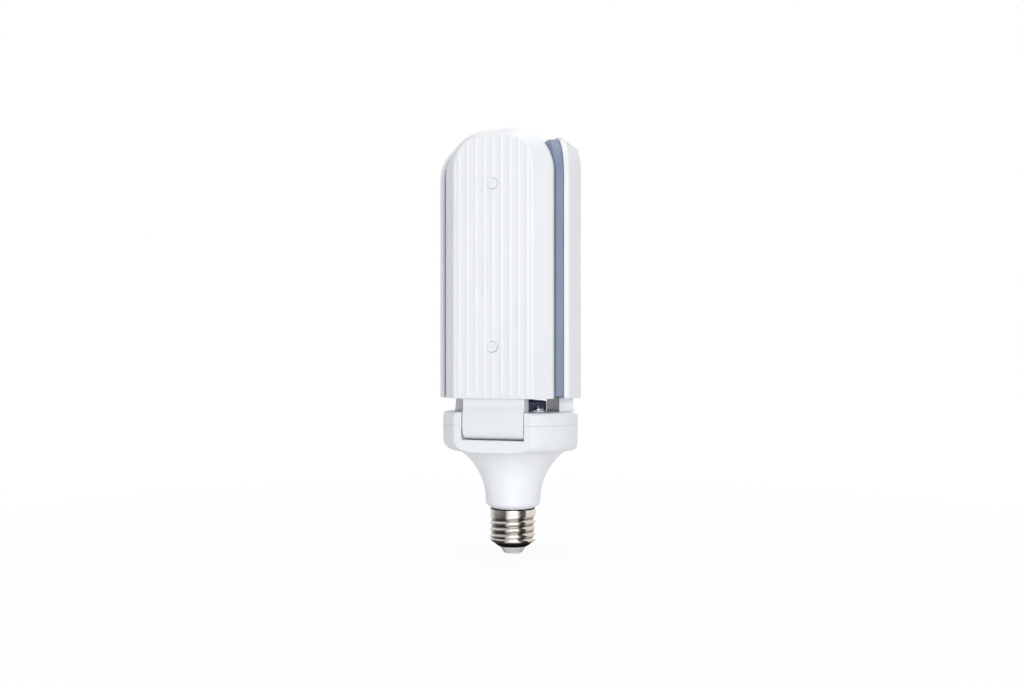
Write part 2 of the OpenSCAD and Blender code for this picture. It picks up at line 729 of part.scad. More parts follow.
// Ribbed outer shell of a leaf, with its screw bosses
module leaf_shell(i) {
    rib_r = (rib_w * rib_w / 4 + rib_h * rib_h) / (2 * rib_h);
    boss_ends = [arm_neck_r + 0.05, board_back_r + 0.05];
    color(white) at_leaf(i) difference() {
        leaf_form(0);
        difference() {
            union() {
                leaf_form(shell_wall);
                slab(leaf_outline(leaf_w / 2 - shell_wall, leaf_z + shell_wall, leaf_top_z - shell_wall,
                    rim_corner_r - shell_wall), rim_r - over, rim_r + over);
            }
            for (k = [0, 1]) radial_bar(boss_d, boss_ends[k], face_r, screw_heights[k]);
        }
        for (k = [0, 1]) {
            radial_bar(plug_d + hole_gap, seat_r, face_r + over, screw_heights[k]);
            radial_bar(leaf_screw_d + 0.4, rim_r, face_r, screw_heights[k]);
        }
        // Slot for the arm's tongue
        translate([-leaf_offset, 0, 0]) {
            translate([-tang_w / 2 - hole_gap, -arm_neck_r - hole_gap, leaf_z - over])
                cube([tang_w + 2 * hole_gap, tang_t + 2 * hole_gap, shell_wall + 2 * over]);
            lead_passage(leaf_z - over, leaf_z + shell_wall + over);
        }
        // Face sunk all round the ribs
        difference() {
            translate([-leaf_w / 2, -face_r - over, leaf_z - over])
                cube([leaf_w, rib_h + over, leaf_h + 2 * over]);
            for (k = [0:rib_count - 1])
                translate([(k - (rib_count - 1) / 2) * rib_pitch, rib_r - face_r, leaf_z + rib_foot])
                    cylinder(r = rib_r, h = leaf_h, $fn = 48);
        }
    }
}

// Aluminium-core board, seated on the shell's bosses
module leaf_board(i) {
    color([0.88, 0.89, 0.9]) at_leaf(i) difference() {
        slab(leaf_outline(leaf_w / 2 - board_inset, leaf_z + shell_wall + 0.4, leaf_top_z - board_inset,
            rim_corner_r - board_inset), board_front_r, board_back_r);
        for (z = screw_heights) radial_bar(leaf_screw_d + 0.4, rim_r, face_r, z);
    }
}

module leaf_leds(i) {
    first_z = leaf_z + 10;
    color([0.95, 0.85, 0.4]) at_leaf(i)
        for (column = [0:led_columns - 1], row = [0:led_rows - 1])
            translate([(column - (led_columns - 1) / 2) * led_column_pitch,
                led_size[2] / 2 - board_front_r, first_z + row * led_row_pitch])
                cube([led_size[0], led_size[2], led_size[1]], center = true);
}

// Outline of a diffuser at its open edge, drawn in by inset
function diffuser_edge(inset) = leaf_outline(leaf_w / 2 - diffuser_inset - inset,
    leaf_z + diffuser_foot + inset, leaf_top_z - diffuser_inset - inset,
    rim_corner_r - diffuser_inset - inset);

module diffuser_form(inset) {
    hull() {
        slab(diffuser_edge(inset), diffuser_side_r + inset * 0.3, rim_r);
        slab(leaf_outline(leaf_w / 2 - diffuser_inset - diffuser_bevel_w - inset * 0.7,
            leaf_z + diffuser_foot + inset, leaf_top_z - diffuser_inset - diffuser_bevel_top - inset,
            rim_corner_r - diffuser_inset - diffuser_bevel_w - inset * 0.7),
            diffuser_r + inset, diffuser_r + inset + 0.1);
    }
}

// Frosted inner cover of a leaf, with the posts that take its screws
module diffuser(i) {
    skirt_inset = shell_wall + skirt_clearance - diffuser_inset;
    inner_inset = skirt_inset + diffuser_wall;
    color(frosted_blue) at_leaf(i) {
        difference() {
            union() {
                diffuser_form(0);
                slab(diffuser_edge(skirt_inset), rim_r - 0.1, rim_r + skirt_h);
            }
            diffuser_form(diffuser_wall);
            slab(diffuser_edge(inner_inset), rim_r - diffuser_side_h / 2, rim_r + skirt_h + over);
        }
        for (z = screw_heights) difference() {
            radial_bar(leaf_screw_d + 3.6, diffuser_r + diffuser_wall - 0.2, board_front_r, z);
            radial_bar(leaf_screw_d + hole_gap, seat_r - leaf_screw_l - 0.5, board_front_r + over, z);
        }
    }
}

// Pan-headed screws that clamp shell, board and diffuser
module leaf_screws(i) {
    color(steel) at_leaf(i) for (z = screw_heights) difference() {
        union() {
            radial_bar(leaf_screw_d, seat_r - leaf_screw_l, seat_r + leaf_screw_head_h / 2, z);
            radial_bar(leaf_screw_head_d, seat_r, seat_r + leaf_screw_head_h, z);
        }
        for (turn = [0, 90]) translate([0, -seat_r - leaf_screw_head_h, z]) rotate([0, turn, 0])
            cube([leaf_screw_head_d * 0.6, 1.6, 0.7], center = true);
    }
}

// Round plugs over the leaf's screws
module screw_plugs(i) {
    color(white) at_leaf(i) for (z = screw_heights)
        radial_bar(plug_d, face_r + plug_proud - plug_t, face_r + plug_proud, z);
}

module hinge_pin(i) {
    color(steel) at_arm(i) hinge_bar(pin_d / 2, pin_l);
}

// Washers that brake the hinge, one between each end of the arm and its cheek
module friction_washers(i) {
    middle = (arm_w / 2 + notch_w / 2) / 2;
    color([0.35, 0.35, 0.37]) at_arm(i) for (side = [-1, 1])
        translate([side * middle, -pivot_r, pivot_z]) rotate([0, 90, 0]) difference() {
            cylinder(d = washer_d, h = washer_t, center = true);
            cylinder(r = saddle_r, h = washer_t + over, center = true);
        }
}

cap_contact();
cap_insulator();
cap_shell();
lower_housing();
upper_cover();
cover_screws();
centre_board();
centre_leds();
centre_lens();
driver_board();
driver_capacitor();
driver_transformer();
driver_rectifier();
driver_fuse();
driver_film_capacitor();
driver_choke();
driver_chip();
live_lead();
neutral_lead();
for (i = [0:2]) {
    hinge_arm(i);
    leaf_shell(i);
    leaf_board(i);
    leaf_leds(i);
    diffuser(i);
    leaf_screws(i);
    screw_plugs(i);
    hinge_pin(i);
    friction_washers(i);
}
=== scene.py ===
import json
import math
from contextlib import contextmanager

import bpy
import bmesh
from mathutils import Matrix, Vector


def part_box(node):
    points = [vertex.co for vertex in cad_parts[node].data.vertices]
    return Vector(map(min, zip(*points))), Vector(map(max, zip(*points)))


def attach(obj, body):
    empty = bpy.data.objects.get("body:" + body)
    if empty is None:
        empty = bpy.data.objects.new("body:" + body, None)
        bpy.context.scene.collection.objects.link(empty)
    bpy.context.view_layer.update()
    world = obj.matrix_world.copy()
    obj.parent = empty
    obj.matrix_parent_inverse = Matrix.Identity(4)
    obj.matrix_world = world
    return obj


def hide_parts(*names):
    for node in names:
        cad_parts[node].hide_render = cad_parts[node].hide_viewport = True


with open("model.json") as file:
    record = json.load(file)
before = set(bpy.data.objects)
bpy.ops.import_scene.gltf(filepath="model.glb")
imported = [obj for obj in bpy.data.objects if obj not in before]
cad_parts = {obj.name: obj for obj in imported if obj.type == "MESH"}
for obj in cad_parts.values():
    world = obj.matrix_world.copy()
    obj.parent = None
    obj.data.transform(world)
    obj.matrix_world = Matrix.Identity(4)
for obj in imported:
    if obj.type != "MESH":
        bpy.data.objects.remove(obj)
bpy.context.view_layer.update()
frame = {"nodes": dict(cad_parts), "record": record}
mm = 0.001
nodes = frame["nodes"]


# Node trees

def operator(kind, swapped=False):
    return lambda wire, other: wire.graph.sum(kind, *((other, wire) if swapped else (wire, other)))


class Wire:  # one output socket that takes part in Python sums
    __add__, __radd__ = operator("ADD"), operator("ADD", True)
    __sub__, __rsub__ = operator("SUBTRACT"), operator("SUBTRACT", True)
    __mul__, __truediv__ = operator("MULTIPLY"), operator("DIVIDE")

    def __init__(self, graph, socket):
        self.graph, self.socket = graph, socket


def findSocket(sockets, key):
    if isinstance(key, int):
        return sockets[key]
    return next(s for s in sockets if key in (s.identifier, s.name))


class Graph:
    def __init__(self, tree):
        self.tree = tree
        tree.nodes.clear()

    def node(self, kind, settings=None, inputs=None, out=0):
        made = self.tree.nodes.new(kind)
        for name, value in (settings or {}).items():
            if name == "stops":
                self.setRamp(made.color_ramp, value)
            else:
                setattr(made, name, value)
        for key, value in (inputs or {}).items():
            socket = findSocket(made.inputs, key)
            if isinstance(value, Wire):
                self.tree.links.new(value.socket, socket)
            else:
                socket.default_value = value
        return Wire(self, findSocket(made.outputs, out)) if made.outputs else made

    def also(self, wire, out):  # another output of the node that a wire comes from
        return Wire(self, findSocket(wire.socket.node.outputs, out))

    def setRamp(self, ramp, stops):
        while len(ramp.elements) > 1:
            ramp.elements.remove(ramp.elements[-1])
        for i, (place, shade) in enumerate(stops):
            stop = ramp.elements[0] if i == 0 else ramp.elements.new(place)
            stop.position = place
            stop.color = (*shade, 1)

    def sum(self, kind, *values):
        return self.node("ShaderNodeMath", {"operation": kind}, dict(enumerate(values)))

    def smoothstep(self, value, low, high):
        return self.node("ShaderNodeMapRange", {"interpolation_type": "SMOOTHSTEP"},
                         {"Value": value, "From Min": low, "From Max": high})

    def blend(self, factor, a, b):
        return self.node("ShaderNodeMix", {"data_type": "RGBA"},
                         {"Factor_Float": factor, "A_Color": a, "B_Color": b}, "Result_Color")

    def length(self, vector):
        return self.node("ShaderNodeVectorMath", {"operation": "LENGTH"}, {0: vector}, "Value")

    def split(self, vector):
        x = self.node("ShaderNodeSeparateXYZ", None, {0: vector}, "X")
        return x, self.also(x, "Y"), self.also(x, "Z")

    def join(self, x=0.0, y=0.0, z=0.0):
        return self.node("ShaderNodeCombineXYZ", None, {"X": x, "Y": y, "Z": z})

    def place(self, scale=(1, 1, 1), turn=(0, 0, 0), shift=(0, 0, 0)):
        coords = self.node("ShaderNodeTexCoord", out="Object")
        return self.node("ShaderNodeMapping", None,
                         {"Vector": coords, "Location": shift, "Rotation": turn, "Scale": scale})

    def noise(self, place, scale, detail=2.0, roughness=0.5, distortion=0.0):
        return self.node("ShaderNodeTexNoise", None, {"Vector": place, "Scale": scale, "Detail": detail,
                         "Roughness": roughness, "Distortion": distortion}, "Fac")

    def bump(self, height, strength, depth, under=None):
        inputs = {"Height": height, "Strength": strength, "Distance": depth}
        if under is not None:
            inputs["Normal"] = under
        return self.node("ShaderNodeBump", None, inputs)

    def surface(self, inputs):
        shader = self.node("ShaderNodeBsdfPrincipled", None, inputs, "BSDF")
        self.node("ShaderNodeOutputMaterial", None, {"Surface": shader})

    def plastic(self, look, tone, rough, relief, index, depth):
        self.surface({"Base Color": tone, "Roughness": rough, "Normal": relief, "IOR": index,
                      "Coat Weight": look["coat"], "Coat Roughness": look["coatRough"],
                      "Subsurface Weight": look["glow"], "Subsurface Scale": depth})


def newMaterial(name):
    made = bpy.data.materials.new(name)
    made.use_nodes = True
    return made, Graph(made.node_tree)


def colour(red, green, blue):  # from the 0-255 values of a colour picker
    def linear(v):
        v /= 255
        return v / 12.92 if v <= 0.04045 else ((v + 0.055) / 1.055) ** 2.4
    return (linear(red), linear(green), linear(blue), 1)


def tones(**shades):
    return {key: colour(*shade) for key, shade in shades.items()}


# Finishes

def mouldedPlastic(name, look):
    made, g = newMaterial(name)
    flow = g.noise(g.place(scale=(1, 1, 0.35)), look["cloudScale"], 3.0, 0.55)
    grain = g.noise(g.place(), look["grainScale"], 4.0, 0.6)
    speck = g.smoothstep(g.noise(g.place(shift=(3, 1, 2)), look["speckScale"], 1.0), 0.68, 0.76)
    tone = g.blend(g.smoothstep(flow, 0.3, 0.7), look["colour"], look["cloud"])
    tone = g.blend(speck * look["speckMix"], tone, look["speck"])
    rough = look["rough"] + (flow - 0.5) * look["roughDrift"] + (grain - 0.5) * look["roughGrain"]
    g.plastic(look, tone, rough, g.bump(grain, look["grainBump"], 0.05 * mm), 1.5, 2 * mm)
    return made


def frostedPlastic(name, look):
    made, g = newMaterial(name)
    cloud = g.noise(g.place(scale=(1, 1, 0.4)), look["cloudScale"], 3.0, 0.5)
    frost = g.noise(g.place(), look["frostScale"], 5.0, 0.7)
    tone = g.blend(g.smoothstep(cloud, 0.25, 0.75), look["colour"], look["cloud"])
    tone = g.blend(g.smoothstep(frost, 0.55, 0.85) * 0.25, tone, look["fleck"])
    rough = look["rough"] + (frost - 0.5) * look["roughGrain"]
    g.plastic(look, tone, rough, g.bump(frost, look["frostBump"], 0.04 * mm), 1.45, 3 * mm)
    return made


def rolledMetal(name, look):
    made, g = newMaterial(name)
    rings = g.noise(g.place(scale=(6, 6, 900)), 10.0, 3.0, 0.6)  # lines drawn round the axis
    stain = g.noise(g.place(scale=(1, 1, 1.6)), look["stainScale"], 4.0, 0.6)
    nick = g.node("ShaderNodeTexVoronoi", {"feature": "DISTANCE_TO_EDGE"},
                  {"Vector": g.place(scale=(1, 1, 2.5)), "Scale": look["nickScale"]}, "Distance")
    scratch = 1 - g.smoothstep(nick, 0.0, 0.02)
    tone = g.blend(g.smoothstep(stain, 0.45, 0.8), look["colour"], look["stain"])
    tone = g.blend(scratch * 0.18, tone, look["scratch"])
    coords = g.node("ShaderNodeTexCoord", out="Object")
    reach = g.length(g.node("ShaderNodeVectorMath", {"operation": "MULTIPLY"}, {0: coords, 1: (1, 1, 0)}))
    height = g.split(coords)[2]
    root = 1 - g.smoothstep(reach, look["rootRadius"], look["crestRadius"])  # painted shade: the thread's roots and the lip are darkened, standing in for the dark shaded valleys
    seam = g.smoothstep(height, look["seam"] - 0.1 * mm, look["seam"] + 0.1 * mm)  # painted shadow: the shell's top under the neck is darkened for the shadow gap there
    tone = g.blend(root * look["rootShadeMix"], tone, look["root"])
    tone = g.blend(seam, tone, look["seamColour"])
    rough = look["rough"] + (stain - 0.5) * look["roughDrift"] + scratch * 0.08
    relief = g.bump(rings, look["ringBump"], 0.02 * mm)
    relief = g.bump(1 - scratch, 0.12, 0.01 * mm, relief)
    g.surface({"Base Color": tone, "Metallic": 1.0, "Roughness": rough, "Normal": relief})
    return made


def plainMetal(name, look):
    made, g = newMaterial(name)
    brushed = g.noise(g.place(scale=look["brush"]), 40.0, 4.0, 0.65)
    stain = g.noise(g.place(), 220.0, 3.0, 0.6)
    tone = g.blend(g.smoothstep(stain, 0.4, 0.8), look["colour"], look["stain"])
    rough = look["rough"] + (brushed - 0.5) * 0.16
    g.surface({"Base Color": tone, "Metallic": look["metal"], "Roughness": rough,
               "Normal": g.bump(brushed, 0.18, 0.02 * mm)})
    return made


def firedGlass(name, look):
    made, g = newMaterial(name)
    melt = g.noise(g.place(), 160.0, 3.0, 0.5, 0.6)
    dust = g.smoothstep(g.noise(g.place(shift=(5, 0, 0)), 1400.0, 2.0), 0.66, 0.74)
    tone = g.blend(dust * 0.2, look["colour"], look["dust"])
    rough = look["rough"] + dust * 0.3 + (melt - 0.5) * 0.04
    g.surface({"Base Color": tone, "Roughness": rough, "Coat Weight": 1.0, "Coat Roughness": 0.03,
               "Normal": g.bump(melt, 0.25, 0.2 * mm)})
    return made


def printedBoard(name, look):
    made, g = newMaterial(name)
    weave = g.node("ShaderNodeTexBrick", {"offset": 0.5},
                   {"Vector": g.place(turn=(math.pi / 2, 0, 0)), "Scale": look["trackScale"], "Mortar Size": 0.012,
                    "Mortar Smooth": 0.4, "Brick Width": 1.4, "Row Height": 0.7}, "Fac")
    blotch = g.noise(g.place(), 180.0, 3.0, 0.6)
    tone = g.blend(g.smoothstep(blotch, 0.3, 0.7), look["colour"], look["cloud"])
    tone = g.blend(weave * 0.5, tone, look["track"])
    g.surface({"Base Color": tone, "Roughness": look["rough"] + (blotch - 0.5) * 0.12,
               "Normal": g.bump(weave, 0.3, 0.04 * mm), "Coat Weight": look["coat"], "Coat Roughness": 0.2})
    return made


def woundBody(name, look):  # bands round a winding, a sleeve or a taped core
    made, g = newMaterial(name)
    bands = g.node("ShaderNodeTexWave", {"wave_type": "BANDS", "bands_direction": look["along"]},
                   {"Vector": g.place(), "Scale": look["bandScale"], "Distortion": 0.4, "Detail": 1.0}, "Fac")
    mottle = g.noise(g.place(), 500.0, 3.0, 0.6)
    tone = g.blend(g.smoothstep(bands, 0.35, 0.8), look["colour"], look["band"])
    tone = g.blend(g.smoothstep(mottle, 0.5, 0.8) * 0.4, tone, look["mottle"])
    g.surface({"Base Color": tone, "Roughness": look["rough"] + (mottle - 0.5) * 0.2,
               "Metallic": look["metal"], "Normal": g.bump(bands, look["bandBump"], 0.1 * mm)})
    return made


whiteLook = {
    **tones(colour=(232, 234, 237), cloud=(228, 231, 235), speck=(205, 207, 210)),
    "cloudScale": 26.0, "grainScale": 2600.0, "speckScale": 900.0, "speckMix": 0.10,
    "rough": 0.36, "roughDrift": 0.10, "roughGrain": 0.08, "grainBump": 0.10,
    "coat": 0.12, "coatRough": 0.25, "glow": 0.05,
}
frostLook = {
    **tones(colour=(116, 130, 154), cloud=(124, 138, 162), fleck=(150, 162, 184)),
    "cloudScale": 20.0, "frostScale": 3200.0, "rough": 0.42, "roughGrain": 0.12, "frostBump": 0.08,
    "coat": 0.05, "coatRough": 0.12, "glow": 0.0,
}
# painted shade in the cap: the root colour darkens the thread's roots and the lip
nickelLook = {
    **tones(colour=(236, 229, 221), stain=(214, 203, 190), scratch=(170, 162, 152), root=(78, 68, 62),
            # painted shadow: the dark colour of the shell's top under the neck
            seamColour=(30, 26, 26)),
    "rootRadius": 12.1 * mm, "crestRadius": 12.8 * mm, "rootShadeMix": 0.8, "seam": 25.2 * mm,
    "stainScale": 120.0, "nickScale": 260.0, "rough": 0.16, "roughDrift": 0.10, "ringBump": 0.06,
}
contactLook = {**tones(colour=(240, 244, 246), stain=(228, 233, 236)), "rough": 0.55, "metal": 0.2, "brush": (30, 3, 1)}
steelLook = {**tones(colour=(196, 198, 202), stain=(176, 178, 184)), "rough": 0.28, "metal": 1.0, "brush": (1, 30, 3)}
boardLook = {
    **tones(colour=(226, 228, 230), cloud=(214, 217, 220), track=(200, 204, 206)),
    "trackScale": 120.0, "rough": 0.5, "coat": 0.1,
}
sleeveLook = {
    **tones(colour=(28, 32, 52), band=(32, 37, 60), mottle=(22, 25, 40)),
    "along": "Y", "bandScale": 90.0, "rough": 0.28, "metal": 0.0, "bandBump": 0.05,
}

finishes = {
    "housing_white": mouldedPlastic("housingWhite", whiteLook),
    "cover_white": mouldedPlastic("coverWhite", {**whiteLook, "rough": 0.34}),
    "arm_white": mouldedPlastic("armWhite", {**whiteLook, **tones(colour=(230, 232, 236))}),
    "leaf_white": mouldedPlastic("leafWhite", {**whiteLook, "rough": 0.40, "cloudScale": 14.0}),
    "plug_white": mouldedPlastic("plugWhite", {**whiteLook, "rough": 0.30}),
    "diffuser_frosted": frostedPlastic("frostedDiffuser", frostLook),
    "lens_frosted": frostedPlastic("frostedLens", {**frostLook, **tones(colour=(78, 86, 112), cloud=(88, 96, 122))}),
    "cap_nickel": rolledMetal("rolledNickel", nickelLook),
    "contact_nickel": plainMetal("tinnedContact", contactLook),
    "steel": plainMetal("zincSteel", steelLook),
    "insulator_black": firedGlass("blackGlass", {**tones(colour=(8, 8, 10), dust=(70, 70, 74)), "rough": 0.10}),
    "board_white": printedBoard("boardWhite", boardLook),
    "pcb_green": printedBoard("boardGreen", {
        **boardLook, **tones(colour=(36, 96, 58), cloud=(30, 84, 50), track=(60, 128, 78)),
        "trackScale": 260.0, "rough": 0.4, "coat": 0.3}),
    "led_phosphor": frostedPlastic("phosphor", {
        **frostLook, **tones(colour=(238, 206, 96), cloud=(228, 190, 78), fleck=(246, 226, 150)),
        "cloudScale": 400.0, "rough": 0.45}),
    "capacitor_sleeve": woundBody("capacitorSleeve", sleeveLook),
    "ferrite_grey": woundBody("ferriteAndTape", {
        **tones(colour=(58, 58, 62), band=(66, 66, 70), mottle=(40, 40, 43)),
        "along": "Z", "bandScale": 300.0, "rough": 0.7, "metal": 0.1, "bandBump": 0.4}),
    "choke_brown": woundBody("varnishedWinding", {
        **tones(colour=(142, 84, 44), band=(186, 118, 66), mottle=(96, 56, 30)),
        "along": "Y", "bandScale": 420.0, "rough": 0.32, "metal": 0.7, "bandBump": 0.9}),
}
for slot, name, shade, cloud, speck, rough, more in (  # small mouldings inside the bulb
        ("washer_grey", "fibreWasher", (72, 72, 76), (62, 62, 66), (110, 106, 100), 0.75, {"speckMix": 0.4}),
        ("epoxy_black", "mouldedEpoxy", (34, 34, 36), (30, 30, 32), (60, 60, 62), 0.6, {"coat": 0.0}),
        ("fuse_green", "lacqueredResistor", (104, 158, 128), (96, 148, 120), (70, 110, 90), 0.3, {}),
        ("film_red", "capacitorBox", (186, 64, 48), (174, 56, 42), (140, 40, 30), 0.34, {}),
        ("lead_red", "redInsulation", (190, 42, 38), (176, 36, 32), (140, 24, 22), 0.42, {}),
        ("lead_blue", "blueInsulation", (52, 88, 168), (46, 80, 156), (30, 56, 120), 0.42, {})):
    look = {**whiteLook, **tones(colour=shade, cloud=cloud, speck=speck), "rough": rough, "glow": 0.0, **more}
    finishes[slot] = mouldedPlastic(name, look)
print("finishes:", len(finishes))


# Meshes

def fit(piece, body, node):  # the body it rides on and the solid it stands for, which is hidden
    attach(piece, body)
    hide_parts(node)


@contextmanager
def editing(mesh):
    bm = bmesh.new()
    bm.from_mesh(mesh)
    yield bm
    bm.to_mesh(mesh)
    bm.free()


def toMesh(name, points, faces):  # points in millimetres
    mesh = bpy.data.meshes.new(name)
    mesh.from_pydata([Vector(p) * mm for p in points], [], faces)
    with editing(mesh) as bm:
        bmesh.ops.remove_doubles(bm, verts=bm.verts, dist=1e-6)
        bmesh.ops.recalc_face_normals(bm, faces=bm.faces)
    return mesh


def newObject(name, data):
    made = bpy.data.objects.new(name, data)
    bpy.context.scene.collection.objects.link(made)
    return made


def paint(piece, slot):
    piece.data.materials.clear()  # sets every face back to the first material
    piece.data.materials.append(finishes[slot])


def newPiece(name, mesh, slot):
    piece = newObject(name, mesh)
    paint(piece, slot)
    return piece


def freeze(piece):  # bakes the modifiers into a plain mesh
    depsgraph = bpy.context.evaluated_depsgraph_get()
    mesh = bpy.data.meshes.new_from_object(piece.evaluated_get(depsgraph), preserve_all_data_layers=True,
                                           depsgraph=depsgraph)
    piece.modifiers.clear()
    piece.data = mesh
    return piece


def smoothFinish(piece, degrees=32.0):
    with editing(piece.data) as bm:
        for face in bm.faces:
            face.smooth = True
        for edge in bm.edges:
            edge.smooth = edge.calc_face_angle(0.0) < math.radians(degrees)
    weigh = piece.modifiers.new("weigh", "WEIGHTED_NORMAL")
    weigh.keep_sharp = True
    return freeze(piece)


def roundEdges(piece, width, degrees=35.0, segments=3):
    bevel = piece.modifiers.new("bevel", "BEVEL")
    bevel.width = width * mm
    bevel.segments = segments
    bevel.limit_method = "ANGLE"
    bevel.angle_limit = math.radians(degrees)
    bevel.use_clamp_overlap = False
    bevel.miter_outer = "MITER_ARC"
    return freeze(piece)


def cutAway(piece, cutters, kind="DIFFERENCE"):
    for cutter in cutters:
        cut = piece.modifiers.new("cut", "BOOLEAN")
        cut.operation = kind
        cut.solver = "EXACT"
        cut.object = cutter
    freeze(piece)
    for cutter in cutters:
        bpy.data.objects.remove(cutter)
    return piece


def blockPiece(name, low, high, slot):
    corners = [(x, y, z) for x in (low[0], high[0]) for y in (low[1], high[1]) for z in (low[2], high[2])]
    faces = [(0, 1, 3, 2), (4, 6, 7, 5), (0, 4, 5, 1), (2, 3, 7, 6), (0, 2, 6, 4), (1, 5, 7, 3)]
    return newPiece(name, toMesh(name, corners, faces), slot)


def barPiece(name, radius, start, end, slot, sides=48):  # round bar between two points
    start, end = Vector(start), Vector(end)
    along = (end - start).normalized()
    across = along.orthogonal().normalized()
    other = along.cross(across)
    ring = [across * math.cos(2 * math.pi * i / sides) + other * math.sin(2 * math.pi * i / sides)
            for i in range(sides)]
    points = [start + r * radius for r in ring] + [end + r * radius for r in ring]
    faces = [(i, (i + 1) % sides, sides + (i + 1) % sides, sides + i) for i in range(sides)]
    faces += [tuple(reversed(range(sides))), tuple(range(sides, 2 * sides))]
    return newPiece(name, toMesh(name, points, faces), slot)


def turnedPiece(name, profile, slot, sides=128):  # profile of (radius, height), closed on itself or on the axis
    points, faces, ringStart = [], [], []
    for radius, height in profile:
        ringStart.append(len(points))
        count = 1 if radius < 1e-6 else sides
        points += [(radius * math.cos(2 * math.pi * i / sides), radius * math.sin(2 * math.pi * i / sides), height)
                   for i in range(count)]
    pairs = list(zip(range(len(profile)), range(1, len(profile))))
    if profile[0][0] > 1e-6:
        pairs.append((len(profile) - 1, 0))

    def at(ring, i):  # a point on the axis stands for its whole ring
        return ringStart[ring] + (i % sides if profile[ring][0] > 1e-6 else 0)

    for a, b in pairs:
        made = [dict.fromkeys((at(a, i), at(b, i), at(b, i + 1), at(a, i + 1))) for i in range(sides)]
        faces += [tuple(face) for face in made if len(face) > 2]
    return newPiece(name, toMesh(name, points, faces), slot)


def arcPoints(centre, radius, first, last, steps):
    angles = [math.radians(first + (last - first) * i / steps) for i in range(steps + 1)]
    return [(centre[0] + radius * math.cos(a), centre[1] + radius * math.sin(a)) for a in angles]


def curveThrough(first, corner, last, steps):  # rounds a corner of a profile
    return [tuple(a * (1 - t) ** 2 + 2 * b * t * (1 - t) + c * t * t for a, b, c in zip(first, corner, last))
            for t in (i / steps for i in range(steps + 1))]


socketKinds = {"Material": "NodeSocketMaterial", "Screws": "NodeSocketInt"}


def nodeTree(name, *labels):  # a Geometry Nodes group with named inputs, numbers but for the finish
    tree = bpy.data.node_groups.new(name, "GeometryNodeTree")
    tree.interface.new_socket("Geometry", in_out="INPUT", socket_type="NodeSocketGeometry")
    for label in (*labels, "Material"):
        kind = socketKinds.get(label, "NodeSocketFloat")
        tree.interface.new_socket(label, in_out="INPUT", socket_type=kind)
    tree.interface.new_socket("Geometry", in_out="OUTPUT", socket_type="NodeSocketGeometry")
    g = Graph(tree)
    return tree, g, lambda label: g.node("NodeGroupInput", out=label)


def closeTree(g, geometry):
    made = g.node("GeometryNodeRealizeInstances", None, {0: geometry})
    finish = g.node("NodeGroupInput", out="Material")
    made = g.node("GeometryNodeSetMaterial", None, {"Geometry": made, "Material": finish})
    g.node("NodeGroupOutput", None, {"Geometry": made})


def runTree(piece, tree, values):
    values = {"Material": piece.data.materials[0], **values}
    step = piece.modifiers.new(tree.name, "NODES")
    step.node_group = tree
    for item in tree.interface.items_tree:
        if item.item_type == "SOCKET" and item.in_out == "INPUT" and item.name in values:
            step[item.identifier] = values[item.name]
    return freeze(piece)


# Leaves: one set of outlines, run from the rim to the ribbed face and back inside

armLow, armHigh = (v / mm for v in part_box("hinge_arm_1"))
leafLow, leafHigh = (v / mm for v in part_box("leaf_shell_1"))
glassLow, glassHigh = (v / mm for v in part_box("diffuser_1"))
solidRib = 0.4  # height of the ribs in the CAD
leaf = {  # "far" is the outline at the face
    "half": (leafHigh.x - leafLow.x) / 2, "offset": (leafHigh.x + leafLow.x) / 2, "foot": leafLow.z,
    "top": leafHigh.z, "corner": 24.5, "toe": 0.5, "wall": 1.8, "rim": -leafHigh.y, "side": 26.1,
    "far": {"half": 23.0, "top": leafHigh.z - 5.4, "corner": 15.9, "radius": -leafLow.y - solidRib},
    "over": 0.06, "edge": 0.06, "edgeLift": 0.4, "shoulder": 0.07, "shoulderDrop": 0.7, "rimRound": 0.35,
    "innerRound": 0.15, "innerDrop": 0.6, "innerSpread": 0.3,
    "pitch": 4.95, "ribWidth": 2.7, "ribHeight": 0.19, "ribs": 9, "ribFoot": 1.4, "ribRunOut": 0.6, "ribTop": 0.45,
    "ribMargin": 0.6, "columnGap": 0.15, "ribSteps": (0.0, 0.25, 0.5, 0.75, 1.0, 1.2, 1.4),
    "rows": (0.5, 0.7, 0.9, 1.1, 1.3, 1.8, 12.0, 23.5, 27.2, 31.0, 50.0, 75.0, 100.0, 111.5, 115.4, 119.3),
    "screws": (leafLow.z + 28.1, leafLow.z + 116.3), "plugHole": 6.3, "holeDepth": 6.0,
    "slotGap": 0.1, "slotBelow": 1.0, "slotAbove": 3.0,
}
plug = {"radius": 5.9 / 2, "proud": 0.7, "height": 1.2, "round": 0.35, "roundDrop": 0.25, "sides": 48}
glass = {  # "far" is the outline at the back, on the bulb's inward side
    "half": (glassHigh.x - glassLow.x) / 2, "foot": glassLow.z, "top": glassHigh.z, "corner": 23.4, "toe": 0.6,
    "wall": 1.4, "rim": 23.2, "rimGap": 0.02, "side": 18.417, "skirt": 0.9, "skirtDepth": 1.6,
    "far": {"half": 22.8, "top": glassHigh.z - 4.0, "corner": 15.9, "radius": -glassHigh.y},
    "over": 0.12, "edge": 0.14, "edgeLift": 0.9, "innerOver": 0.22, "innerLift": 1.3, "shoulder": 0.16,
    "shoulderRise": 1.1, "rimRound": (0.25, 0.3), "columns": 12, "rows": 8,
}
arm = {
    "half": armHigh.x + 0.2, "face": 32.2, "neck": 31.2, "back": 23.2, "pivot": (27.7, armLow.z + 4.5),
    "knuckle": 4.5, "stepLow": armLow.z + 14.0, "stepHigh": armLow.z + 17.6, "stepRound": 0.3, "lowRound": 0.5,
    "highRound": 0.8, "top": leaf["foot"], "edge": 0.3, "bore": 1.95, "boreReach": 20.0,
    "tongueHalf": 14.5, "tongueBack": 28.3, "tongueTop": armHigh.z, "overlap": 1.0,
    "wayHalf": 4.5, "wayFront": 27.4, "wayBack": 20.0, "wayLow": armLow.z + 7.9, "wayHigh": armLow.z + 11.9,
}


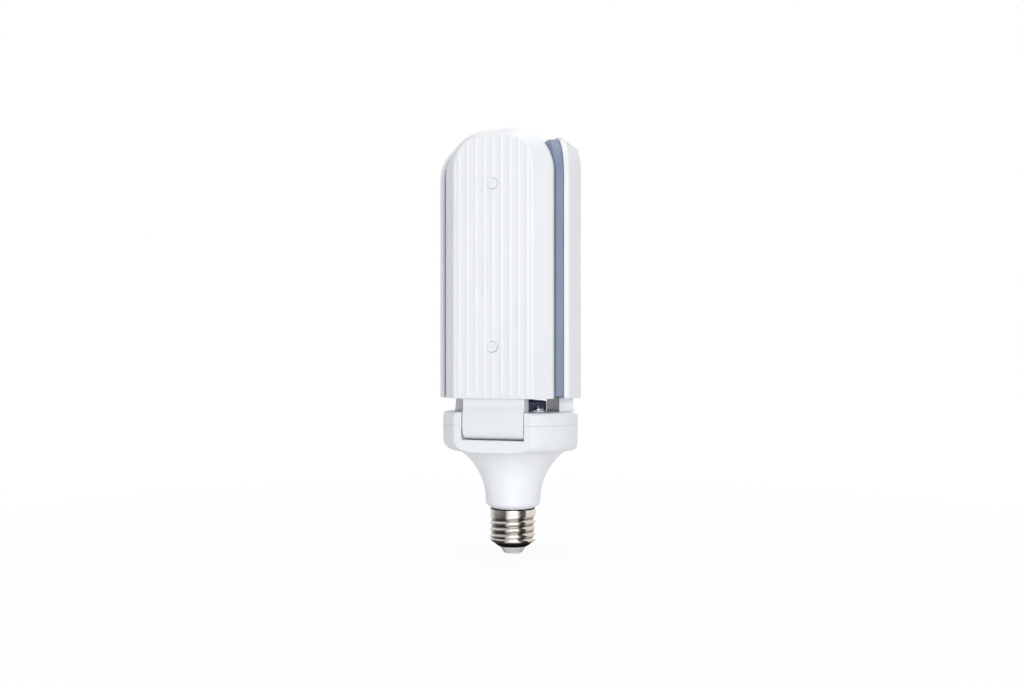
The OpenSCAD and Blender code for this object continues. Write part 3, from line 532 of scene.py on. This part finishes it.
def mix(a, b, t):
    return a + (b - a) * t


def outline(shape, t, radius, lift=0.0, inset=0.0):  # between the rim, t = 0, and the face or back, t = 1
    half, top, corner = (mix(shape[key], shape["far"][key], t) - inset for key in ("half", "top", "corner"))
    return {"half": half, "foot": shape["foot"] + lift + inset, "top": top, "corner": corner, "toe": shape["toe"],
            "radius": radius}


def edgeRings(shape, steps):  # rounds the edge between the face or back and the slanted sides
    rings, far, edge = [], shape["far"]["radius"], shape["edge"]
    for i in range(1, steps + 1):
        t = i / steps
        place = (1 + shape["over"]) * (1 - t) ** 2 + 2 * t * (1 - t) + (1 - edge) * t * t
        radius = far + (shape["side"] - far) * edge * t * t
        rings.append(outline(shape, place, radius, shape["edgeLift"] * (1 - t) ** 2))
    return rings


def shoulderRings(shape, end, steps):  # rounds the edge between the slanted sides and the rim
    t, side = shape["shoulder"], shape["side"]
    curve = curveThrough((t, mix(side, shape["far"]["radius"], t)), (0, side), (0, end), steps)
    return [outline(shape, place, radius) for place, radius in curve]


def ringPoint(ring, site):
    kind, side, t = site
    toeZ = ring["foot"] + ring["toe"]
    bend = ring["top"] - ring["corner"]
    if kind == "foot":
        x, z = t * (ring["half"] - ring["toe"]), ring["foot"]
    elif kind == "toe":
        x = side * (ring["half"] - ring["toe"] + ring["toe"] * math.sin(t))
        z = toeZ - ring["toe"] * math.cos(t)
    elif kind == "side":
        x, z = side * ring["half"], mix(toeZ, bend, t)
    elif kind == "corner":
        x = side * (ring["half"] - ring["corner"] + ring["corner"] * math.cos(t))
        z = bend + ring["corner"] * math.sin(t)
    else:
        x, z = t * (ring["half"] - ring["corner"]), ring["top"]
    return (x, -ring["radius"], z)


def ringSites(ring, columns, rows):  # columns are distances from the middle of the ring's own outline
    inner = ring["half"] - ring["corner"]
    angles = [math.acos((x - inner) / ring["corner"]) for x in columns if x > inner]
    angles = sorted({*[round(a, 6) for a in angles], *[math.radians(a) for a in (4, 8, 12) if
                     math.radians(a) < min(angles) - 0.02]})
    flat = [x / inner for x in columns if abs(x) <= inner]
    feet = [x / (ring["half"] - ring["toe"]) for x in columns]
    up = [0.0, *rows, 1.0]
    toes = [math.radians(a) for a in (30, 60)]
    sites = [("foot", 0, t) for t in feet]
    sites += [("toe", 1, a) for a in toes] + [("side", 1, t) for t in up] + [("corner", 1, a) for a in angles]
    sites += [("top", 0, t) for t in reversed(flat)]
    sites += [("corner", -1, a) for a in reversed(angles)] + [("side", -1, t) for t in reversed(up)]
    sites += [("toe", -1, a) for a in reversed(toes)]
    return sites


def fillFace(ring, sites, points):  # strips between the columns, from the foot up to the top
    index = {site: i for i, site in enumerate(sites)}
    feet = [s for s in sites if s[0] == "foot"]
    ups = [s[2] for s in sites if s[0] == "side" and s[1] == 1]
    heights = [ringPoint(ring, ("side", 1, t))[2] for t in ups[1:-1]]
    inner = ring["half"] - ring["corner"]

    def topSite(x):
        if abs(x) <= inner + 1e-6:
            return min((s for s in sites if s[0] == "top"), key=lambda s: abs(s[2] * inner - x))
        side = 1 if x > 0 else -1
        return min((s for s in sites if s[0] == "corner" and s[1] == side),
                   key=lambda s: abs(side * (inner + ring["corner"] * math.cos(s[2])) - x))

    columns = []
    for foot in feet:
        x = foot[2] * (ring["half"] - ring["toe"])
        end = topSite(x)
        column = [index[foot]]
        for z in [*heights, ringPoint(ring, end)[2] - leaf["ribTop"]]:
            column.append(len(points))
            points.append((x, -ring["radius"], z))
        column.append(index[end])
        columns.append(column)
    faces = [(a[j], b[j], b[j + 1], a[j + 1]) for a, b in zip(columns, columns[1:]) for j in range(len(a) - 1)]
    for side, column in ((-1, columns[0]), (1, columns[-1])):
        edge = [index[("side", side, t)] for t in ups]
        faces += [(edge[j], column[j], column[j + 1], edge[j + 1]) for j in range(1, len(edge) - 2)]
        toes = [index[s] for s in sites if s[:2] == ("toe", side)]
        faces.append([edge[0], *nearestFirst(toes, points, edge[0]), column[0], column[1], edge[1]])
        arc = [index[s] for s in sites if s[:2] == ("corner", side)
               and points[edge[-1]][2] < points[index[s]][2] < points[column[-1]][2]]
        faces.append([edge[-2], column[-3], column[-2], column[-1], *nearestFirst(arc, points, column[-1]), edge[-1]])
    return faces


def nearestFirst(arc, points, near):
    return sorted(arc, key=lambda i: (Vector(points[i]) - Vector(points[near])).length)


def loft(rings, sites, inStrips):  # a closed tray: first ring filled, rings, and the last ring filled
    points = [ringPoint(ring, site) for ring in rings for site in sites]
    faces, count = [], len(sites)
    for k in range(len(rings) - 1):
        low, high = k * count, (k + 1) * count
        faces += [(low + i, low + (i + 1) % count, high + (i + 1) % count, high + i) for i in range(count)]
    faces += fillFace(rings[0], sites, points) if inStrips else [tuple(range(count))]
    faces.append(tuple(range((len(rings) - 1) * count, len(rings) * count)))
    return points, faces


def leafShellMesh():
    far, rim, wall = leaf["far"]["radius"], leaf["rim"], leaf["wall"]
    flat = leaf["far"]["half"] - leaf["ribMargin"] - leaf["toe"]
    reach = (leaf["ribs"] - 1) // 2
    columns = {round(k * leaf["pitch"] + side * step, 4) for k in range(-reach, reach + 1)
               for side in (-1, 1) for step in (*leaf["ribSteps"], leaf["pitch"] / 2)}
    columns = sorted({x for x in columns if abs(x) < flat - leaf["columnGap"]} | {-flat, flat})
    face = outline(leaf, 1 + leaf["over"], far, leaf["edgeLift"])
    span = face["top"] - face["corner"] - face["foot"] - face["toe"]
    sites = ringSites(face, columns, [z / span for z in leaf["rows"]])
    rings = [face, *edgeRings(leaf, 5), *shoulderRings(leaf, leaf["side"] - leaf["shoulderDrop"], 5)]
    soft = leaf["rimRound"]
    rings += [outline(leaf, 0, radius, 0, inset)
              for inset, radius in curveThrough((0, rim + soft), (0, rim), (soft, rim), 3)]
    rings += [outline(leaf, 0, rim, 0, wall - leaf["innerRound"]),
              outline(leaf, 0, rim + leaf["innerRound"], 0, wall),
              outline(leaf, 0, leaf["side"] - leaf["innerDrop"], 0, wall)]
    inside = outline(leaf, 1, far - wall, 0, wall)
    inside["half"] += wall * leaf["innerSpread"]
    inside["corner"] += wall * leaf["innerSpread"]
    mesh = toMesh("leafShell", *loft([*rings, inside], sites, True))
    edge = {tuple(round(v, 2) for v in ringPoint(face, s)) for s in sites}
    free = mesh.attributes.new("free", "FLOAT", "POINT")  # marks the face inside its edge, where ribs may rise
    for i, vertex in enumerate(mesh.vertices):
        here = vertex.co / mm
        flush = abs(here.y + far) < 0.001
        free.data[i].value = float(flush and tuple(round(v, 2) for v in here) not in edge)
    return mesh


def ribTree():  # raises the ribs, and cuts the holes under the plugs
    tree, g, value = nodeTree("leafRibs", "Pitch", "Width", "Height", "Ribs", "Face", "Rib foot", "Run-out",
                              "Hole radius", "Hole depth", "Lower hole", "Hole spacing")
    x, _, z = g.split(g.node("GeometryNodeInputPosition"))
    free = g.node("GeometryNodeInputNamedAttribute", {"data_type": "FLOAT"}, {"Name": "free"}, "Attribute")
    reach = (value("Ribs") - 1) * 0.5
    number = g.sum("MAXIMUM", g.sum("MINIMUM", g.sum("ROUND", x / value("Pitch")), reach), 0 - reach)
    off = g.sum("ABSOLUTE", x - number * value("Pitch"))
    turn = g.sum("MINIMUM", off / value("Width"), 0.5)  # each rib is one soft wave
    crown = (g.sum("COSINE", turn * (2 * math.pi)) + 1) * value("Height") * 0.5
    fade = g.smoothstep(z, value("Rib foot"), value("Rib foot") + value("Run-out"))
    moved = g.node("GeometryNodeSetPosition", None,
                   {"Geometry": value("Geometry"), "Offset": g.join(y=0 - crown * fade * free)})
    drill = g.node("GeometryNodeMeshCylinder", None,
                   {"Vertices": 64, "Radius": value("Hole radius"), "Depth": value("Hole depth")})
    spots = g.node("GeometryNodeMeshLine", {"mode": "OFFSET"}, {
        "Count": 2, "Start Location": g.join(y=0 - value("Face"), z=value("Lower hole")),
        "Offset": g.join(z=value("Hole spacing"))})
    drills = g.node("GeometryNodeInstanceOnPoints", None,
                    {"Points": spots, "Instance": drill, "Rotation": (math.pi / 2, 0, 0)})
    drills = g.node("GeometryNodeRealizeInstances", None, {0: drills})
    cut = g.node("GeometryNodeMeshBoolean", {"operation": "DIFFERENCE", "solver": "EXACT"},
                 {"Mesh 1": moved, "Mesh 2": drills})
    closeTree(g, cut)
    return tree


def plugTree():  # the same plug at each screw
    tree, g, value = nodeTree("plugRow", "Spacing")
    spots = g.node("GeometryNodeMeshLine", {"mode": "OFFSET"}, {"Count": 2, "Offset": g.join(z=value("Spacing"))})
    row = g.node("GeometryNodeInstanceOnPoints", None, {"Points": spots, "Instance": value("Geometry")})
    closeTree(g, row)
    return tree


def leafShell(number):
    piece = newPiece(f"leafShell{number}", leafShellMesh(), "leaf_white")
    piece = runTree(piece, ribs, {
        "Pitch": leaf["pitch"] * mm, "Width": leaf["ribWidth"] * mm, "Height": leaf["ribHeight"] * mm,
        "Ribs": float(leaf["ribs"]), "Face": leaf["far"]["radius"] * mm, "Run-out": leaf["ribRunOut"] * mm,
        "Rib foot": (leaf["foot"] + leaf["ribFoot"]) * mm, "Hole radius": leaf["plugHole"] / 2 * mm,
        "Hole depth": leaf["holeDepth"] * mm, "Lower hole": leaf["screws"][0] * mm,
        "Hole spacing": screwSpacing})
    half, shift, gap = arm["tongueHalf"] + leaf["slotGap"], leaf["offset"], leaf["slotGap"]
    low = (-half - shift, -arm["neck"] - gap, leaf["foot"] - leaf["slotBelow"])
    high = (half - shift, gap - arm["tongueBack"], leaf["foot"] + leaf["slotAbove"])
    cutAway(piece, [blockPiece("slotCut", low, high, "leaf_white")])
    return smoothFinish(piece, 24.0)


def leafPlugs(number):
    r, front, inner = plug["radius"], -plug["proud"], plug["radius"] - plug["round"]
    curve = curveThrough((inner, front), (r, front), (r, plug["roundDrop"] + front), 4)
    profile = [(0, front), *curve, (r, plug["height"] + front), (0, plug["height"] + front)]
    piece = turnedPiece(f"screwPlugs{number}", profile, "plug_white", plug["sides"])
    place = Matrix.Translation((0, -leaf["far"]["radius"] * mm, leaf["screws"][0] * mm))
    piece.data.transform(place @ Matrix.Rotation(-math.pi / 2, 4, "X"))
    return smoothFinish(runTree(piece, plugs, {"Spacing": screwSpacing}))


def diffuserMesh():
    far, rim, wall, skirt = glass["far"]["radius"], glass["rim"], glass["wall"], glass["skirt"]
    back = outline(glass, 1 + glass["over"], far, glass["edgeLift"])
    reach = back["half"] - back["toe"]
    columns = [reach * (2 * i / glass["columns"] - 1) for i in range(glass["columns"] + 1)]
    sites = ringSites(back, columns, [i / glass["rows"] for i in range(1, glass["rows"])])
    rings = [outline(glass, 1 + glass["innerOver"], far, glass["innerLift"]), back, *edgeRings(glass, 6),
             *shoulderRings(glass, glass["side"] + glass["shoulderRise"], 6)]
    edge, (inset, rise) = rim - glass["rimGap"], glass["rimRound"]
    rings += [outline(glass, 0, radius, 0, x)
              for x, radius in curveThrough((0, rim - rise), (0, edge), (inset, edge), 3)]
    low, deep = rim + glass["skirtDepth"], skirt + wall
    rings += [outline(glass, 0, radius, 0, x)
              for radius, x in ((edge, skirt), (low, skirt), (low, deep), (glass["side"], deep))]
    rings.append(outline(glass, 1, far + wall, 0, wall))
    return toMesh("diffuser", *loft(rings, sites, False))


def diffuser(number):
    return smoothFinish(newPiece(f"diffuser{number}", diffuserMesh(), "diffuser_frosted"), 60.0)


def hingeArm(number):
    (pivot, pivotHigh), face, neck = arm["pivot"], arm["face"], arm["neck"]
    low, high, t = arm["stepLow"], arm["stepHigh"], arm["stepRound"]
    profile = [(arm["back"], arm["top"]), *arcPoints(arm["pivot"], arm["knuckle"], 180, 360, 24)]
    profile += curveThrough((face, low - arm["lowRound"]), (face, low), (mix(face, neck, t), mix(low, high, t)), 4)
    profile += curveThrough((mix(neck, face, t), mix(high, low, t)), (neck, high), (neck, high + arm["highRound"]), 4)
    profile.append((neck, arm["top"]))
    count = len(profile)
    points = [(side * arm["half"], -radius, z) for side in (-1, 1) for radius, z in profile]
    faces = [(i, (i + 1) % count, count + (i + 1) % count, count + i) for i in range(count)]
    faces += [tuple(range(count)), tuple(reversed(range(count, 2 * count)))]
    piece = newPiece(f"hingeArm{number}", toMesh("hingeArm", points, faces), "arm_white")
    roundEdges(piece, arm["edge"])
    tongue = blockPiece("tongue", (-arm["tongueHalf"], -neck, arm["top"] - arm["overlap"]),
                        (arm["tongueHalf"], -arm["tongueBack"], arm["tongueTop"]), "arm_white")
    cutAway(piece, [tongue], "UNION")
    reach = arm["boreReach"]
    bore = barPiece("bore", arm["bore"], (-reach, -pivot, pivotHigh), (reach, -pivot, pivotHigh), "arm_white")
    way = blockPiece("way", (-arm["wayHalf"], -arm["wayFront"], arm["wayLow"]),
                     (arm["wayHalf"], -arm["wayBack"], arm["wayHigh"]), "arm_white")
    cutAway(piece, [bore, way])
    return smoothFinish(piece)


screwSpacing = (leaf["screws"][1] - leaf["screws"][0]) * mm
ribs, plugs = ribTree(), plugTree()
for number in (1, 2, 3):
    turn = 120 * (number - 1)
    made = {
        "leaf_shell": (leafShell(number), "leaf_white"), "screw_plugs": (leafPlugs(number), "plug_white"),
        "diffuser": (diffuser(number), "diffuser_frosted"), "hinge_arm": (hingeArm(number), "arm_white"),
    }
    for node, (piece, slot) in made.items():
        shift = 0 if node == "hinge_arm" else leaf["offset"]
        turned = Matrix.Rotation(math.radians(turn), 4, "Z")
        piece.data.transform(turned @ Matrix.Translation((shift * mm, 0, 0)))
        fit(piece, f"leaf_{number}", f"{node}_{number}")
print("leaves: 3")


# Base and neck: softened copies of the two mouldings

moulding = {"merge": 0.002, "flat": 0.4, "round": 0.25}  # "flat" in degrees


def softened(node, name, slot):
    piece = newPiece(name, nodes[node].data.copy(), slot)
    with editing(piece.data) as bm:
        bmesh.ops.remove_doubles(bm, verts=bm.verts, dist=moulding["merge"] * mm)
        bmesh.ops.dissolve_limit(bm, angle_limit=math.radians(moulding["flat"]), verts=bm.verts, edges=bm.edges)
    roundEdges(piece, moulding["round"], segments=2)
    fit(smoothFinish(piece, 40.0), "base", node)


softened("lower_housing", "lowerHousing", "housing_white")
softened("upper_cover", "upperCover", "cover_white")
print("base: 2 mouldings")


# Cap: rolled shell, black insulator and contact

cap = {
    "crest": 26.2, "root": 24.4, "pitch": 3.63, "threadLow": 8.2, "threadHigh": 22.4, "turn": 40.0,
    "lip": 22.4, "lipRound": 2.0, "top": 26.0, "crimp": 25.3, "crimpRound": 0.25, "crimpStep": 0.3, "topRound": 0.2,
    "wall": 0.5, "fade": 1.2, "bite": 0.9, "sides": 160, "rise": 0.15,
}
insulator = {
    "bore": 1.1, "low": 3.5, "high": 9.4, "outer": 11.6, "lipGap": (0.1, 1.05),
    "bowl": (5.6, 9.95), "bowlRadius": 6.62, "bowlArc": (-76.9, -33.8),
}
contact = {
    "flat": 4.7, "tip": (5.2, 0.0), "cone": (5.42, 0.49), "flare": (6.95, 2.87), "bend": (7.1, 3.1), "rim": (7.1, 3.3),
    "top": 3.5,
}


def threadTree():  # sinks the thread into the smooth outside of the turned shell
    tree, g, value = nodeTree("threadRolling", "Crest radius", "Depth", "Pitch", "Thread low", "Thread high",
                              "Run-out", "Start angle", "Bite")
    x, y, z = g.split(g.node("GeometryNodeInputPosition"))
    radius = g.sum("SQRT", x * x + y * y)
    low, high = value("Thread low"), value("Thread high")
    fade = g.sum("MINIMUM", (z - low) / value("Run-out"), (high - z) / value("Run-out"))
    fade = g.smoothstep(fade, 0.0, 1.0)
    phase = z / value("Pitch") * (2 * math.pi) - g.sum("ARCTAN2", y, x) - value("Start angle")
    wave = g.sum("POWER", g.sum("COSINE", phase) * 0.5 + 0.5, value("Bite"))
    sink = value("Depth") * fade * (1 - wave)
    outer = g.sum("GREATER_THAN", radius, value("Crest radius") - 0.05 * mm)
    ratio = (radius - sink * outer) / radius
    moved = g.node("GeometryNodeSetPosition", None,
                   {"Geometry": value("Geometry"), "Position": g.join(x * ratio, y * ratio, z)})
    closeTree(g, moved)
    return tree


def capShell():
    crest, lip, wall, inner = cap["crest"] / 2, cap["lip"] / 2, cap["wall"], cap["root"] / 2 - cap["wall"]
    low, high, top, crimp = cap["threadLow"], cap["threadHigh"], cap["top"], cap["crimp"]
    lipLow, step = low - cap["lipRound"], cap["crimpStep"]
    profile = [(lip + (crest - lip) * math.sin(math.radians(a)), low - cap["lipRound"] * math.cos(math.radians(a)))
               for a in range(0, 90, 10)]
    steps = round((high - low) / cap["rise"])
    profile += [(crest, mix(low, high, i / steps)) for i in range(steps + 1)]
    profile += curveThrough((crest, crimp - cap["crimpRound"]), (crest, crimp), (crest - step, crimp), 3)
    profile += curveThrough((crest - step, top - cap["topRound"]), (crest - step, top), (crest - step - 0.1, top), 2)
    profile += [(crest - wall, top), (crest - wall, high + 1), (inner, high + 0.5), (inner, lipLow + 2 * wall),
                (lip, lipLow + wall)]
    piece = turnedPiece("capShell", profile, "cap_nickel", cap["sides"])
    piece = runTree(piece, threadTree(), {
        "Crest radius": crest * mm, "Depth": (cap["crest"] - cap["root"]) / 2 * mm, "Pitch": cap["pitch"] * mm,
        "Thread low": low * mm, "Thread high": high * mm, "Run-out": cap["fade"] * mm,
        "Start angle": math.radians(cap["turn"]), "Bite": cap["bite"]})
    return smoothFinish(piece, 40.0)


def capInsulator():
    inset, rise = insulator["lipGap"]
    lipTop = cap["threadLow"] - cap["lipRound"] + rise
    profile = [(insulator["bore"], insulator["high"]), (insulator["bore"], insulator["low"])]
    profile += arcPoints(insulator["bowl"], insulator["bowlRadius"], *insulator["bowlArc"], 14)
    profile += [(cap["lip"] / 2 - inset, lipTop), (insulator["outer"], lipTop), (insulator["outer"], insulator["high"])]
    return smoothFinish(turnedPiece("capInsulator", profile, "insulator_black", 96), 40.0)


def capContact():
    flat, top = (contact["flat"], 0), contact["top"]
    profile = [(0, 0), *curveThrough(flat, contact["tip"], contact["cone"], 4)]
    profile += curveThrough(contact["flare"], contact["bend"], contact["rim"], 3)
    profile += [(contact["rim"][0], top), (0, top)]
    return smoothFinish(turnedPiece("capContact", profile, "contact_nickel", 72), 40.0)


# Middle of the base: lens and the cover's screws

lensLow, lensHigh = (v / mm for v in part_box("centre_lens"))
lens = {  # a little wider than the solid above its seat, so that less light shows beside it
    "radius": lensHigh.x + 0.6, "foot": lensHigh.x, "height": lensHigh.z - lensLow.z - 0.8, "rise": 1.2,
    "wall": 1.5, "seat": 0.8, "lip": 0.3, "lipGap": 0.02, "round": 0.9, "roundRise": 0.1,
}
coverTop = lensLow.z + lens["seat"]
screw = {
    "count": 3, "ring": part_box("cover_screws")[1].y / mm - 3.0, "head": 3.0, "headLow": 0.4, "headHeight": 2.2,
    "underHead": (2.9, 0.15), "shank": 1.3, "tip": 1.0, "length": 13.0, "taper": 0.7, "seat": 0.8,
    "cross": (1.8, 0.4), "crossLow": 1.4, "crossTop": 4.0, "crossTurn": 20, "edge": 0.07,
}


def roundLens():
    r, rise, footR, foot = lens["radius"], lens["rise"], lens["foot"], coverTop - lens["seat"]
    dome = (r * r + rise * rise) / (2 * rise)
    half = math.asin(r / dome)
    centre = coverTop + lens["height"] - dome

    def arch(inset):
        return [((r - inset) * math.sin(half * i / 16) / math.sin(half),
                 centre + (dome - inset) * math.cos(half * i / 16)) for i in range(17)]

    outer, soft = arch(0), lens["round"]
    edge = outer[-1][1]
    rim = curveThrough((r - soft, edge + lens["roundRise"]), (r, edge), (r, edge - soft), 5)
    profile = [p for p in outer if p[0] < r - soft - 0.05] + rim
    profile += [(r, coverTop + lens["lip"]), (footR, coverTop + lens["lipGap"]), (footR, foot)]
    profile += [(footR - lens["wall"], foot), *reversed(arch(lens["wall"]))]
    return smoothFinish(turnedPiece("roundLens", profile, "lens_frosted", 96), 40.0)


def screwTree():  # the same screw in each of the three lobes
    tree, g, value = nodeTree("lobeScrews", "Ring radius", "Screws", "First angle")
    ring = g.node("GeometryNodeMeshCircle", {"fill_type": "NONE"},
                  {"Vertices": value("Screws"), "Radius": value("Ring radius")})
    turned = g.node("GeometryNodeTransform", None, {"Geometry": ring, "Rotation": g.join(z=value("First angle"))})
    placed = g.node("GeometryNodeInstanceOnPoints", None, {"Points": turned, "Instance": value("Geometry")})
    closeTree(g, placed)
    return tree


def coverScrews():
    top, r, shank, (underR, underRise) = coverTop + screw["seat"], screw["head"], screw["shank"], screw["underHead"]
    low = top - screw["length"]
    profile = [(0, low), (screw["tip"], low), (shank, low + screw["taper"]), (shank, top), (underR, top),
               (r, top + underRise)]
    profile += [(r * c if c > 1e-5 else 0.0, top + screw["headLow"] + screw["headHeight"] * s)
                for c, s in arcPoints((0, 0), 1, 0, 90, 8)]
    piece = turnedPiece("coverScrews", profile, "steel", 48)
    blades, (half, thin) = [], screw["cross"]
    for a in (0, 90):
        blade = blockPiece("blade", (-half, -thin, top + screw["crossLow"]), (half, thin, top + screw["crossTop"]),
                           "steel")
        blade.data.transform(Matrix.Rotation(math.radians(a + screw["crossTurn"]), 4, "Z"))
        blades.append(blade)
    cutAway(piece, blades)
    roundEdges(piece, screw["edge"], 50.0, 1)
    piece = runTree(piece, screwTree(), {
        "Ring radius": screw["ring"] * mm, "Screws": screw["count"], "First angle": math.pi / 2})
    return smoothFinish(piece, 40.0)


for piece, node, slot in (
        (capShell(), "cap_shell", "cap_nickel"), (capInsulator(), "cap_insulator", "insulator_black"),
        (capContact(), "cap_contact", "contact_nickel"), (roundLens(), "centre_lens", "lens_frosted"),
        (coverScrews(), "cover_screws", "steel")):
    fit(piece, "base", node)
print("cap, lens and screws")


# Parts that keep their solid and get their finish

slotOf = {s["node"]: s["material_slot"] for s in frame["record"]["subparts"]}
for name, piece in nodes.items():
    paint(piece, slotOf[name])
print("solids with their finish:", len(nodes))


# Floor, light and camera

studio = {
    "view": 20.4, "floorSize": 4.0, "floor": colour(244, 244, 245), "whiteNear": 0.93, "shadeReach": (0.16, 0.5),
    "world": 0.36, "floorFlags": (0.03, 0.14), "skyFlags": (0.25, 0.6), "underCap": (0.015, 0.02),
    "ring": (  # share of the way round, and how white: level with the object, upward and downward
        (0.0, (1, 1, 1)), (0.06, (1, 1, 1)), (0.1, (0.05, 0.01, 0.0)), (0.175, (0.05, 0.01, 0.0)),
        (0.19, (0.9, 0.85, 0.73)), (0.63, (0.86, 0.8, 0.64)), (0.73, (0.3, 0.7, 0.06)), (0.9, (0.06, 0.5, 0.0)),
        (0.925, (1, 1, 1))),
}
lamps = {  # "place" is degrees round from the camera's side, reach and height, and "aim" the height it points at
    "key": {"place": (3.0, 1.4, 0.16), "aim": 0.12, "size": (1.0, 0.9), "power": 16.5},
    "top": {"place": (0.0, 0.0, 1.4), "aim": 0.0, "size": (1.2, 1.2), "power": 8.0},
    "back": {"place": (165.0, 1.4, 0.3), "aim": 0.12, "size": (0.9, 0.9), "power": 8.0},
    "low": {"place": (0.0, 1.0, 0.038), "aim": 0.038, "size": (0.4, 0.03), "power": 0.0065, "spread": 3.0,
            "tone": (1, 0.97, 1)},
}
shot = {  # shift in pixels of an image so wide
    "place": (0.0, 0.579, 0.1031), "lens": 35.55, "sensor": 36.0, "shift": (-1, 31), "width": 1024,
}


def aside(degrees, reach, height):  # a place round the object, counted from the camera's side to the right
    angle = math.radians(studio["view"] + degrees)
    return (reach * math.sin(angle), -reach * math.cos(angle), height)


def flagRing(g, x, y, away, slope):  # what metal sees round the object: white panels, and dark flags between them
    first = math.radians(studio["view"] - 90)
    share = g.sum("FRACT", (g.sum("ARCTAN2", y, x) - first) / (2 * math.pi))
    ring = g.node("ShaderNodeValToRGB", {"stops": studio["ring"]}, {"Fac": share}, "Color")
    level = g.node("ShaderNodeSeparateColor", None, {"Color": ring}, "Red")
    return level + (g.also(level, away) - level) * slope


def lookingRays(g):  # rays that see plain white, and the glossy ones among them, which see the ring
    camera = g.node("ShaderNodeLightPath", out="Is Camera Ray")
    glossy = g.also(camera, "Is Glossy Ray")
    seen = g.sum("MAXIMUM", camera, g.sum("MAXIMUM", glossy, g.also(camera, "Is Transmission Ray")))
    return seen, glossy


def makeFloor():
    mesh = bpy.data.meshes.new("floor")
    half = studio["floorSize"]
    mesh.from_pydata([(-half, -half, 0), (half, -half, 0), (half, half, 0), (-half, half, 0)], [], [(0, 1, 2, 3)])
    made, g = newMaterial("floorPaper")
    seen, glossy = lookingRays(g)
    place = g.node("ShaderNodeTexCoord", out="Object")
    away = g.length(place)
    x, y, _ = g.split(place)
    ring = flagRing(g, x, y, "Blue", 1 - g.smoothstep(away, *studio["floorFlags"]))
    ring = ring * g.smoothstep(away, *studio["underCap"])  # dark right under the cap
    bare = g.smoothstep(away, *studio["shadeReach"])  # the shadow's ground runs out into plain white
    near = studio["whiteNear"]
    paper = g.node("ShaderNodeBsdfDiffuse", None, {"Color": studio["floor"]}, "BSDF")
    white = g.node("ShaderNodeEmission", None, {"Color": (1, 1, 1, 1), "Strength": 1 - glossy * (1 - ring)}, "Emission")
    shade = g.node("ShaderNodeMixShader", None, {0: seen * (bare * (1 - near) + near), 1: paper, 2: white}, "Shader")
    g.node("ShaderNodeOutputMaterial", None, {"Surface": shade})
    mesh.materials.append(made)
    floor = newObject("floor", mesh)


def makeWorld():  # even light, white where it is seen
    world = bpy.data.worlds.new("studio")
    bpy.context.scene.world = world
    world.use_nodes = True
    g = Graph(world.node_tree)
    seen, glossy = lookingRays(g)
    x, y, z = g.split(g.node("ShaderNodeTexCoord", out="Generated"))
    ring = flagRing(g, x, y, "Green", g.smoothstep(z, *studio["skyFlags"]))
    light = g.node("ShaderNodeBackground", None, {"Color": (1, 1, 1, 1), "Strength": studio["world"]})
    white = g.node("ShaderNodeBackground", None, {"Color": (1, 1, 1, 1), "Strength": 1 - glossy * (1 - ring)})
    shade = g.node("ShaderNodeMixShader", None, {0: seen, 1: light, 2: white}, "Shader")
    g.node("ShaderNodeOutputWorld", None, {"Surface": shade})


def areaLamp(name, place, aim, size, power, spread=180.0, tone=(1, 1, 1)):
    lamp = bpy.data.lights.new(name, "AREA")
    lamp.shape = "RECTANGLE"
    lamp.size, lamp.size_y = size
    lamp.energy = power
    lamp.spread = math.radians(spread)
    lamp.color = tone
    held = newObject(name, lamp)
    held.location = aside(*place)
    held.rotation_euler = (Vector((0, 0, aim)) - Vector(aside(*place))).to_track_quat("-Z", "Y").to_euler()


def makeCamera():
    camera = newObject("camera", bpy.data.cameras.new("camera"))
    camera.data.lens = shot["lens"]
    camera.data.sensor_width = shot["sensor"]
    camera.data.shift_x, camera.data.shift_y = (v / shot["width"] for v in shot["shift"])
    camera.data.clip_start = 0.01
    camera.location = aside(*shot["place"])
    camera.rotation_euler = (math.pi / 2, 0, math.radians(studio["view"]))
    bpy.context.scene.camera = camera


makeFloor()
makeWorld()
for name, lamp in lamps.items():
    areaLamp(name, **lamp)
makeCamera()
bpy.context.scene.view_settings.view_transform = "Standard"
